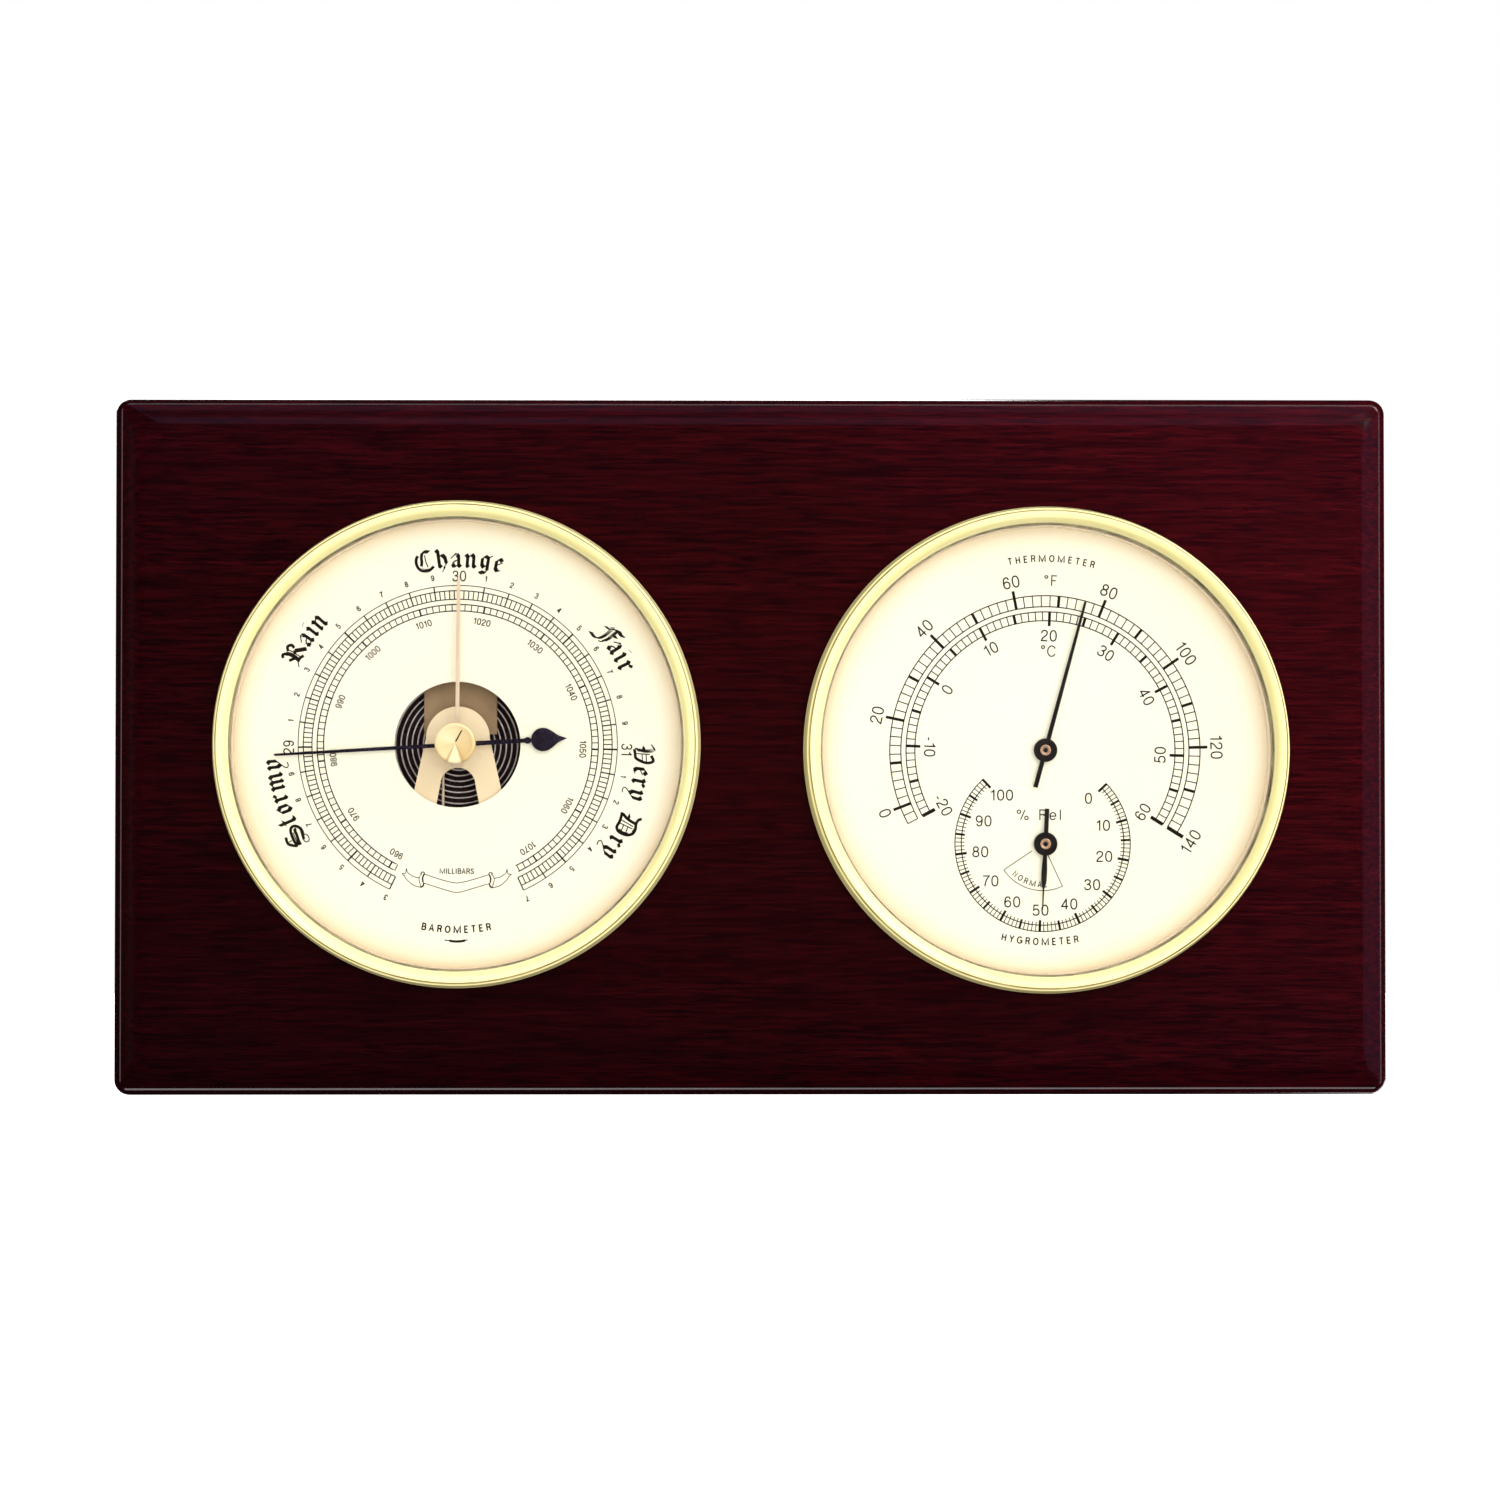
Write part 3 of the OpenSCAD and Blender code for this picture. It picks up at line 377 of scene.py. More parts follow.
AX_B = (-DIAL_X * MM, 0.0, BARO_Z * MM)
AX_T = (DIAL_X * MM, 0.0, THERMO_Z * MM)
PEACH = (0.93, 0.78, 0.62)
# a dark line in the outer groove, and a painted shadow line at the bezel's inner edge
GROOVE_LINE_AND_PAINTED_SHADOW = ((0.05238, 0.00017, (0.15, 0.095, 0.025)), (0.04968, 0.00025, (0.045, 0.028, 0.008)))
M = {
    "wood": wood(),
    "bezel_b": metal("polished_brass_left", (0.96, 0.87, 0.40), (0.97, 0.895, 0.43), (0.10, 0.14), 500.0, 0.0000006, metallic=0.10, turned=AX_B, marks_tone=0.02,
                     rings=GROOVE_LINE_AND_PAINTED_SHADOW),
    "bezel_t": metal("polished_brass_right", (0.95, 0.865, 0.395), (0.965, 0.89, 0.43), (0.10, 0.14), 500.0, 0.0000006, metallic=0.10, turned=AX_T, marks_tone=0.02,
                     rings=GROOVE_LINE_AND_PAINTED_SHADOW),
    "knob": knob_brass(),
    "case_b": metal("spun_brass_left", (0.62, 0.47, 0.20), (0.76, 0.60, 0.29), (0.24, 0.4), 500.0, 0.00001, specks=0.35, turned=AX_B, wall=PEACH),
    "case_t": metal("spun_brass_right", (0.62, 0.47, 0.20), (0.76, 0.60, 0.29), (0.24, 0.4), 500.0, 0.00001, specks=0.35, turned=AX_T, wall=PEACH),
    "works": metal("stamped_brass", (0.66, 0.49, 0.21), (0.82, 0.65, 0.33), (0.22, 0.36), 1200.0, 0.000006, specks=0.2),
    "plate": metal("rolled_brass", (0.60, 0.46, 0.22), (0.74, 0.60, 0.32), (0.28, 0.42), 800.0, 0.00001, specks=0.4),
    "gilt": metal("gilt_bridge", (0.90, 0.70, 0.44), (0.98, 0.81, 0.56), (0.36, 0.48), 1500.0, 0.000004, metallic=0.15),
    "pale": metal("pale_gilt_hand", (0.84, 0.62, 0.44), (0.93, 0.74, 0.56), (0.34, 0.46), 1500.0, 0.000003, metallic=0.25),
    "copper": metal("coppery_eyelet", (0.83, 0.52, 0.36), (0.93, 0.66, 0.50), (0.2, 0.3), 1500.0, 0.000003, metallic=0.7),
    "steel": metal("zinc_steel", (0.50, 0.49, 0.47), (0.66, 0.65, 0.62), (0.22, 0.36), 900.0, 0.000006, specks=0.2),
    "spring": metal("tempered_steel", (0.33, 0.205, 0.105), (0.46, 0.31, 0.175), (0.5, 0.62), 1100.0, 0.000008, specks=0.2, metallic=0.3),
    "coil": metal("coil_strip", (0.50, 0.42, 0.30), (0.66, 0.57, 0.42), (0.25, 0.4), 1000.0, 0.000005),
    "capsule": capsule_skin(),
    "black": black_paint("black_hand", (0.008, 0.006, 0.006), (0.016, 0.012, 0.012)),
    "blued": black_paint("blue_black_hand", (0.009, 0.005, 0.010), (0.020, 0.013, 0.034), (0.2, 0.32), 0.6),
    "dial": card("ivory_dial_left", AX_B),
    "dial_t": card("ivory_dial_right", AX_T),
    "ink": ink("black_ink", (0.007, 0.004, 0.002), (0.018, 0.011, 0.006)),
    "thin_ink": ink("fine_ink", (0.022, 0.015, 0.008), (0.055, 0.040, 0.022)),
    "grey_ink": ink("grey_ink", (0.040, 0.022, 0.010), (0.085, 0.050, 0.025)),
    "word_ink": ink("lettering_ink", (0.007, 0.004, 0.002), (0.018, 0.010, 0.005)),
    "glass": glass(),
    "rubber": rubber(),
    "cork": cork(),
}


# --------------------------------------------------------------- meshes
def piece(name, mesh, material, body=None, replaces=(), angle=35.0, smooth=True):
    me = bpy.data.meshes.new(name)
    if isinstance(mesh, bmesh.types.BMesh):
        bmesh.ops.remove_doubles(mesh, verts=mesh.verts, dist=1e-8)
        bmesh.ops.recalc_face_normals(mesh, faces=mesh.faces)
        mesh.to_mesh(me)
        mesh.free()
    o = bpy.data.objects.new(name, me)
    scene.collection.objects.link(o)
    me.materials.append(material)
    if smooth:
        me.polygons.foreach_set("use_smooth", [True] * len(me.polygons))
        me.set_sharp_from_angle(angle=math.radians(angle))
    if body:
        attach(o, body)
    if replaces:
        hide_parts(*replaces)
    return o


def add_lathe(bm, m, profile, seg=256, closed=True):
    """Turns a profile of (radius, height) about the local z axis."""
    rings = []
    for r, h in profile:
        if r < 1e-9:
            rings.append([bm.verts.new(m @ Vector((0, 0, h)))])
        else:
            rings.append([bm.verts.new(m @ Vector((r * math.cos(2 * math.pi * i / seg), r * math.sin(2 * math.pi * i / seg), h)))
                          for i in range(seg)])
    pairs = list(zip(rings, rings[1:])) + ([(rings[-1], rings[0])] if closed and len(rings[0]) > 1 and len(rings[-1]) > 1 else [])
    for a, b in pairs:
        for i in range(seg):
            j = (i + 1) % seg
            if len(a) == 1 and len(b) == 1:
                break
            if len(a) == 1:
                bm.faces.new((a[0], b[i], b[j]))
            elif len(b) == 1:
                bm.faces.new((a[i], b[0], a[j]))
            else:
                bm.faces.new((a[i], b[i], b[j], a[j]))
    return bm


def add_prism(bm, m, pts, lo, hi):
    """A closed prism on an outline of (x, y) points."""
    a = [bm.verts.new(m @ Vector((x, y, lo))) for x, y in pts]
    b = [bm.verts.new(m @ Vector((x, y, hi))) for x, y in pts]
    n = len(pts)
    bm.faces.new(a[::-1])
    top = bm.faces.new(b)
    for i in range(n):
        bm.faces.new((a[i], a[(i + 1) % n], b[(i + 1) % n], b[i]))
    return top


def add_ring(bm, m, ri, ro, lo, hi, a0=0.0, a1=360.0, step=1.5):
    """A flat ring or an arc of one. Angles run clockwise from the top, in degrees."""
    full = abs(a1 - a0) >= 359.99
    n = max(2, int(round(abs(a1 - a0) / step)))
    rows = []
    for i in range(n if full else n + 1):
        a = math.radians(a0 + (a1 - a0) * i / n)
        s, c = math.sin(a), math.cos(a)
        rows.append([bm.verts.new(m @ Vector((r * s, r * c, h))) for r, h in ((ri, lo), (ro, lo), (ro, hi), (ri, hi))])
    k = len(rows)
    for i in range(k if full else k - 1):
        p, q = rows[i], rows[(i + 1) % k]
        for j in range(4):
            bm.faces.new((p[j], q[j], q[(j + 1) % 4], p[(j + 1) % 4]))
    if not full:
        bm.faces.new(rows[0])
        bm.faces.new(rows[-1][::-1])


def plate(name, m, outlines, lo, hi, bevel, material, body, replaces=(), extra=None):
    """A stamped plate with softened front edges."""
    bm = bmesh.new()
    for pts in outlines:
        add_prism(bm, m, pts, lo, hi)
    bmesh.ops.recalc_face_normals(bm, faces=bm.faces)
    tops = [f for f in bm.faces if f.normal.dot((m.to_3x3() @ Vector((0, 0, 1))).normalized()) > 0.9]
    edges = {e for f in tops for e in f.edges}
    if bevel:
        bmesh.ops.bevel(bm, geom=list(edges), offset=bevel * MM, segments=2, profile=0.6, affect="EDGES", clamp_overlap=True)
    if extra:
        extra(bm)
    return piece(name, bm, material, body, replaces)


def turned_to(deg):
    """Rotation that points local +y at deg clockwise from the top."""
    return Matrix.Rotation(math.radians(-deg), 4, "Z")


def circle(r, n=72, cx=0.0, cy=0.0):
    return [(cx + r * math.cos(2 * math.pi * i / n), cy + r * math.sin(2 * math.pi * i / n)) for i in range(n)]


# ---------------------------------------------------------------- board
def rounded_loop(w, h, r, per=12):
    pts = []
    for cx, cz, a0 in ((w / 2 - r, h / 2 - r, 0), (-w / 2 + r, h / 2 - r, 90), (-w / 2 + r, -h / 2 + r, 180), (w / 2 - r, -h / 2 + r, 270)):
        for i in range(per + 1):
            a = math.radians(a0 + 90 * i / per)
            pts.append((cx + r * math.cos(a), cz + r * math.sin(a)))
    return pts


def build_board():
    # (inset from the outline, y): back edge, side, steep rim, arris, soft shoulder, face
    steps = [(0.8, 0.0), (0.35, -0.12), (0.08, -0.42), (0.0, -0.8), (0.0, -6.0), (0.0, -12.0), (0.0, -17.4), (0.03, -18.4), (0.15, -19.3), (0.36, -20.1),
             (0.66, -20.8), (1.02, -21.35), (1.36, -21.75), (1.60, -21.97), (1.76, -22.09), (1.90, -22.17), (2.08, -22.24), (2.36, -22.34), (2.8, -22.50),
             (3.3, -22.72), (3.8, -22.95), (4.3, -23.19), (4.8, -23.42), (5.3, -23.62), (5.8, -23.79), (6.4, -23.92), (7.0, -23.98), (7.7, -24.0)]
    bm = bmesh.new()
    loops = []
    for d, y in steps:
        r = 3.4 - d if d < 1.9 else 1.5 + (d - 1.9) * 0.9
        loops.append([bm.verts.new((x * MM, y * MM, z * MM)) for x, z in rounded_loop(BOARD_W - 2 * d, BOARD_H - 2 * d, r)])
    for a, b in zip(loops, loops[1:]):
        for i in range(len(a)):
            j = (i + 1) % len(a)
            bm.faces.new((a[i], a[j], b[j], b[i]))
    bm.faces.new(loops[0][::-1])
    bm.faces.new(loops[-1])
    bmesh.ops.recalc_face_normals(bm, faces=bm.faces)
    o = piece("board_wood", bm, M["wood"])

    cut = bmesh.new()
    for cx, cz in ((-DIAL_X, BARO_Z), (DIAL_X, THERMO_Z)):
        add_prism(cut, seat(cx, cz), circle(51.0, 180), -BOARD_T - 2, 2)
    for x in (-112, 112):
        for x0, x1, y0, y1, z0, z1 in ((-8.2, 8.2, -1.5, 2, 38.8, 73.2), (-6.2, 6.2, -9, -1.0, 45.2, 65.8)):
            add_prism(cut, Matrix(((1, 0, 0, 0), (0, 0, -1, 0), (0, 1, 0, 0), (0, 0, 0, 1))) @ Matrix.Diagonal((MM, MM, MM, 1)),
                      [(x + x0, z0), (x + x1, z0), (x + x1, z1), (x + x0, z1)], -y1, -y0)
        for z in (42.6, 69.4):
            add_prism(cut, Matrix(((1, 0, 0, 0), (0, 0, -1, 0), (0, 1, 0, 0), (0, 0, 0, 1))) @ Matrix.Diagonal((MM, MM, MM, 1)),
                      circle(1.2, 24, x, z), 1.4, 13)
    bmesh.ops.recalc_face_normals(cut, faces=cut.faces)
    cm = bpy.data.meshes.new("cutters")
    cut.to_mesh(cm)
    cut.free()
    co = bpy.data.objects.new("cutters", cm)
    scene.collection.objects.link(co)
    mod = o.modifiers.new("holes", "BOOLEAN")
    mod.operation, mod.solver, mod.object = "DIFFERENCE", "EXACT", co
    mod.use_self = True
    dg = bpy.context.evaluated_depsgraph_get()
    me = bpy.data.meshes.new_from_object(o.evaluated_get(dg))
    o.modifiers.clear()
    o.data = me
    bpy.data.objects.remove(co)
    if not me.materials:
        me.materials.append(M["wood"])
    me.polygons.foreach_set("use_smooth", [True] * len(me.polygons))
    me.set_sharp_from_angle(angle=math.radians(24))
    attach(o, "station")
    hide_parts("board")
    return o


# --------------------------------------------------------------- bezels
def spline(points, n=6):
    """A smooth curve through the points."""
    out = []
    pts = [points[0]] + list(points) + [points[-1]]
    for i in range(1, len(pts) - 2):
        p0, p1, p2, p3 = (Vector((*p, 0)) for p in pts[i - 1:i + 3])
        for k in range(n):
            t = k / n
            q = 0.5 * ((2 * p1) + (-p0 + p2) * t + (2 * p0 - 5 * p1 + 4 * p2 - p3) * t * t + (-p0 + 3 * p1 - 3 * p2 + p3) * t ** 3)
            out.append((q.x, q.y))
    out.append(points[-1])
    return out


def bezel_profile():
    wall = [(52.45, 0.0), (53.52, 0.0), (53.58, 0.08), (53.6, 0.8)]
    taper = spline([(53.5, 1.05), (53.3, 2.9), (53.08, 4.4), (52.95, 5.35)], 3)
    groove = [(52.88, 5.5), (52.74, 5.6), (52.5, 5.66), (52.42, 5.74), (52.42, 5.84), (52.5, 5.94)]
    crest = spline([(52.56, 6.1), (52.58, 6.34), (52.47, 6.6), (52.2, 6.77), (51.9, 6.8), (51.5, 6.66), (51.15, 6.35), (50.8, 5.85),
                    (50.45, 5.15), (50.12, 4.3), (49.82, 3.4), (49.62, 2.78)], 4)
    lip = [(49.55, 2.62), (49.5, 2.5), (49.5, 2.35), (50.65, 2.35), (50.65, 0.62), (52.45, 0.62)]
    return wall + taper + groove + crest + lip


def build_bezel(name, m, material, node):
    bm = bmesh.new()
    add_lathe(bm, m, bezel_profile(), 360)
    return piece(name, bm, material, "station", (node,), 30)


def build_card_rims():
    """The turned-down edge of each card, which closes the gap to the case."""
    for name, m, mat in (("baro_card_rim", BARO, "dial"), ("thermo_card_rim", THERMO, "dial_t")):
        bm = bmesh.new()
        add_lathe(bm, m, [(48.7, -4.04), (49.29, -4.04), (49.29, -3.975), (49.2, -3.97), (48.9, -3.985), (48.7, -3.995)], 256)
        piece(name, bm, M[mat], "station", angle=50)


# ---------------------------------------------------------------- hands
def build_hands():
    m = BARO @ turned_to(-93.3)
    out = [(-0.46, 0), (-0.36, 24.4), (-0.25, 40.2), (0, 40.6), (0.25, 40.2), (0.36, 24.4), (0.46, 0), (0.52, -3), (0.47, -14.85),
           (0.64, -15.1)]
    bead = [(0.75 * math.sin(a), -15.5 + 0.75 * math.cos(a)) for a in [math.radians(d) for d in range(60, 125, 16)]]
    right = out[5:] + bead + [(0.34, -16.25), (0.34, -16.45)]
    spade = []
    for i in range(15):
        a = math.radians(8 + i * 8.6)
        spade.append((2.6 * math.sin(a), -18.9 + 2.6 * math.cos(a)))
    spade += [(1.95, -20.75), (1.5, -21.35), (1.05, -21.9), (0.72, -22.45), (0.42, -23.1), (0.2, -23.75), (0.0, -24.3)]
    side = [(0.0, 40.6)] + [p for p in out[4:5]] + right + spade
    outline = side + [(-x, y) for x, y in side[::-1] if x > 1e-6]

    def boss(bm):
        add_lathe(bm, m, [(0.46, -3.4), (1.9, -3.4), (1.9, -2.25), (1.75, -2.05), (1.5, -2.0), (0.46, -2.0)], 64)
    plate("pressure_hand_plate", m, [outline], -2.9, -2.6, 0.07, M["blued"], "pressure_pointer", ("pressure_hand",), boss)

    m = BARO @ turned_to(0.5)
    needle = [(-0.45, 1.5), (-0.36, 35.4), (-0.12, 37.4), (0.12, 37.4), (0.36, 35.4), (0.45, 1.5)]
    tail = [(0.5, -1.4), (1.42, -4.1), (1.5, -4.5), (1.36, -4.85), (1.05, -5.1), (0.6, -5.25), (-0.6, -5.25), (-1.05, -5.1), (-1.36, -4.85),
            (-1.5, -4.5), (-1.42, -4.1), (-0.5, -1.4)]

    def hub(bm):
        add_lathe(bm, m, [(1.52, -1.3), (2.5, -1.3), (2.5, -0.1), (2.38, 0.04), (2.2, 0.1), (1.52, 0.1)], 72)
    plate("set_hand_plate", m, [needle, tail], -1.3, -1.0, 0.07, M["pale"], "set_pointer", ("set_hand",), hub)

    m = THERMO @ turned_to(15.2)
    outline = [(-0.5, -8.5), (0.5, -8.5), (0.5, 0), (0.38, 20.5), (0.26, 33.9), (0, 34.2), (-0.26, 33.9), (-0.38, 20.5), (-0.5, 0)]

    def disc(bm, m=m):
        add_lathe(bm, m, [(0.62, -2.9), (2.6, -2.9), (2.6, -2.48), (2.5, -2.38), (2.3, -2.35), (1.22, -2.35), (1.22, -2.66), (0.62, -2.66)], 96)
    plate("thermo_hand_plate", m, [outline], -2.9, -2.6, 0.07, M["black"], "thermo_pointer", ("thermo_hand",), disc)

    m2 = HYGRO @ turned_to(182.7)
    half = [(0, 14.8), (0.13, 14.5), (0.18, 9.95), (0.30, 9.6), (0.42, 9.2), (0.54, 8.6), (0.60, 7.9), (0.62, 6.8), (0.60, 5.6), (0.54, 4.4),
            (0.46, 3.2), (0.42, 2.4), (0.46, 0), (0.5, -7.8)]
    outline = half + [(-x, y) for x, y in half[::-1] if x > 1e-6]
    plate("hygro_hand_plate", m2, [outline], -2.9, -2.6, 0.07, M["black"], "hygro_pointer", ("hygro_hand",),
          lambda bm: disc(bm, m2))

    for name, m, body, node in (("thermo_eyelet", THERMO, "thermo_pointer", "thermo_arbor"), ("hygro_eyelet", HYGRO, "hygro_pointer", "hygro_arbor")):
        bm = bmesh.new()
        add_lathe(bm, m, [(0, -12.5), (0.6, -12.5), (0.6, -11.2), (1.4, -11.2), (1.4, -7.0), (0.6, -7.0), (0.6, -2.7), (1.2, -2.7), (1.2, -2.05),
                          (1.14, -1.93), (1.0, -1.86), (0.85, -1.9), (0.7, -2.02), (0.55, -2.22), (0.3, -2.3), (0, -2.3)], 64)
        piece(name, bm, M["copper"], body, (node,), 40)
        bm = bmesh.new()
        add_lathe(bm, m, [(0, -2.34), (0.5, -2.34), (0.5, -2.2), (0.36, -2.1), (0, -2.06)], 32)
        piece(name.replace("eyelet", "pivot_end"), bm, M["black"], body)


def build_knob():
    bm = bmesh.new()
    prof = [(0, -1.35), (1.5, -1.35), (1.5, 2.95), (2.6, 2.95), (2.75, 3.3), (2.75, 4.4), (2.85, 4.62), (3.3, 4.9), (3.9, 5.02), (4.2, 5.1),
            (4.36, 5.22), (4.42, 5.35), (4.45, 5.6), (4.45, 6.2), (4.38, 6.3), (4.45, 6.4), (4.45, 7.2), (4.38, 7.3), (4.45, 7.4), (4.45, 8.1),
            (4.42, 8.28), (4.34, 8.45), (4.22, 8.57), (4.05, 8.64), (3.86, 8.66), (3.7, 8.62), (3.45, 8.54), (3.0, 8.46), (2.4, 8.385),
            (1.6, 8.32), (0.8, 8.285), (0, 8.27)]
    add_lathe(bm, BARO, prof, 192)
    # a thin black line on the face, 28 degrees from the top, is a painted dark streak of reflection
    piece("set_knob_turned", bm, M["knob"], "set_pointer", ("set_knob",), 32)
    bm = bmesh.new()
    add_prism(bm, BARO @ turned_to(28), [(-0.13, 0.4), (0.13, 0.4), (0.13, 3.5), (-0.13, 3.5)], 8.25, 8.49)
    piece("set_knob_line", bm, M["black"], "set_pointer")


# --------------------------------------------------------------- window
def build_capsule():
    bm = bmesh.new()
    prof = [(0, -10.42), (1.3, -10.42), (1.4, -10.55), (1.4, -11.45), (3.1, -11.5), (3.35, -11.7), (3.6, -12.05)]
    r = 4.0
    while r < 16.7:
        prof.append((r, -12.12 + 0.28 * math.cos(2 * math.pi * (r - 0.55) / 1.24)))
        r += 0.1
    prof += [(16.9, -12.45), (17.05, -12.9), (17.3, -13.6), (17.6, -13.95), (18.2, -14.1), (18.7, -14.2), (19.0, -14.45), (19.0, -14.75),
             (18.7, -15.0), (17.6, -15.2), (17.2, -15.7), (17.0, -16.4)]
    r = 16.4
    while r > 4.6:
        prof.append((r, -16.7 + 0.22 * math.cos(2 * math.pi * (r - 0.55) / 1.86)))
        r -= 0.18
    prof += [(4.2, -17.0), (4.0, -18.0), (2.0, -18.0), (2.0, -20.7), (1.8, -20.9), (0, -20.9)]
    add_lathe(bm, BARO, prof, 192, closed=False)
    piece("capsule_skin", bm, M["capsule"], "station", ("aneroid_capsule",), 40)


# ------------------------------------------------------------- printing
INK_LO, INK_HI = -4.0, -3.985


def add_stroke(bm, m, pts, w, lo=INK_LO, hi=INK_HI, closed=False, ends=0.0):
    """A line of even width through the points, as one closed solid."""
    p = [Vector(q) for q in pts]
    if closed and (p[0] - p[-1]).length < 1e-9:
        p.pop()
    n = len(p)
    rows = []
    for i in range(n):
        a = p[i] - p[i - 1] if (i or closed) else None
        b = p[(i + 1) % n] - p[i] if (i < n - 1 or closed) else None
        d = (a.normalized() if a else b.normalized()) + (b.normalized() if b else a.normalized())
        if d.length < 1e-6:
            d = b
        d.normalize()
        side = Vector((-d.y, d.x))
        ref = (b if b else a).normalized()
        grow = 1.0 / max(0.5, abs(ref.dot(d)))
        q = p[i]
        if ends and not closed and i == 0:
            q = q - d * ends
        if ends and not closed and i == n - 1:
            q = q + d * ends
        rows.append([bm.verts.new(m @ Vector((v.x, v.y, h))) for v, h in
                     ((q - side * w / 2 * grow, lo), (q + side * w / 2 * grow, lo), (q + side * w / 2 * grow, hi), (q - side * w / 2 * grow, hi))])
    for i in range(n if closed else n - 1):
        a, b = rows[i], rows[(i + 1) % n]
        for j in range(4):
            bm.faces.new((a[j], a[(j + 1) % 4], b[(j + 1) % 4], b[j]))
    if not closed:
        bm.faces.new(rows[0][::-1])
        bm.faces.new(rows[-1])


def oval(cx, cy, rx, ry, a0=0, a1=360, n=20, power=1.0):
    """Points of an oval, clockwise from the top."""
    k = n if abs(a1 - a0) >= 360 else n + 1
    out = []
    for i in range(k):
        a = math.radians(a0 + (a1 - a0) * i / n)
        s, c = math.sin(a), math.cos(a)
        out.append((cx + rx * math.copysign(abs(s) ** power, s), cy + ry * math.copysign(abs(c) ** power, c)))
    return out


def bend(*pts):
    return spline(list(pts), 4)


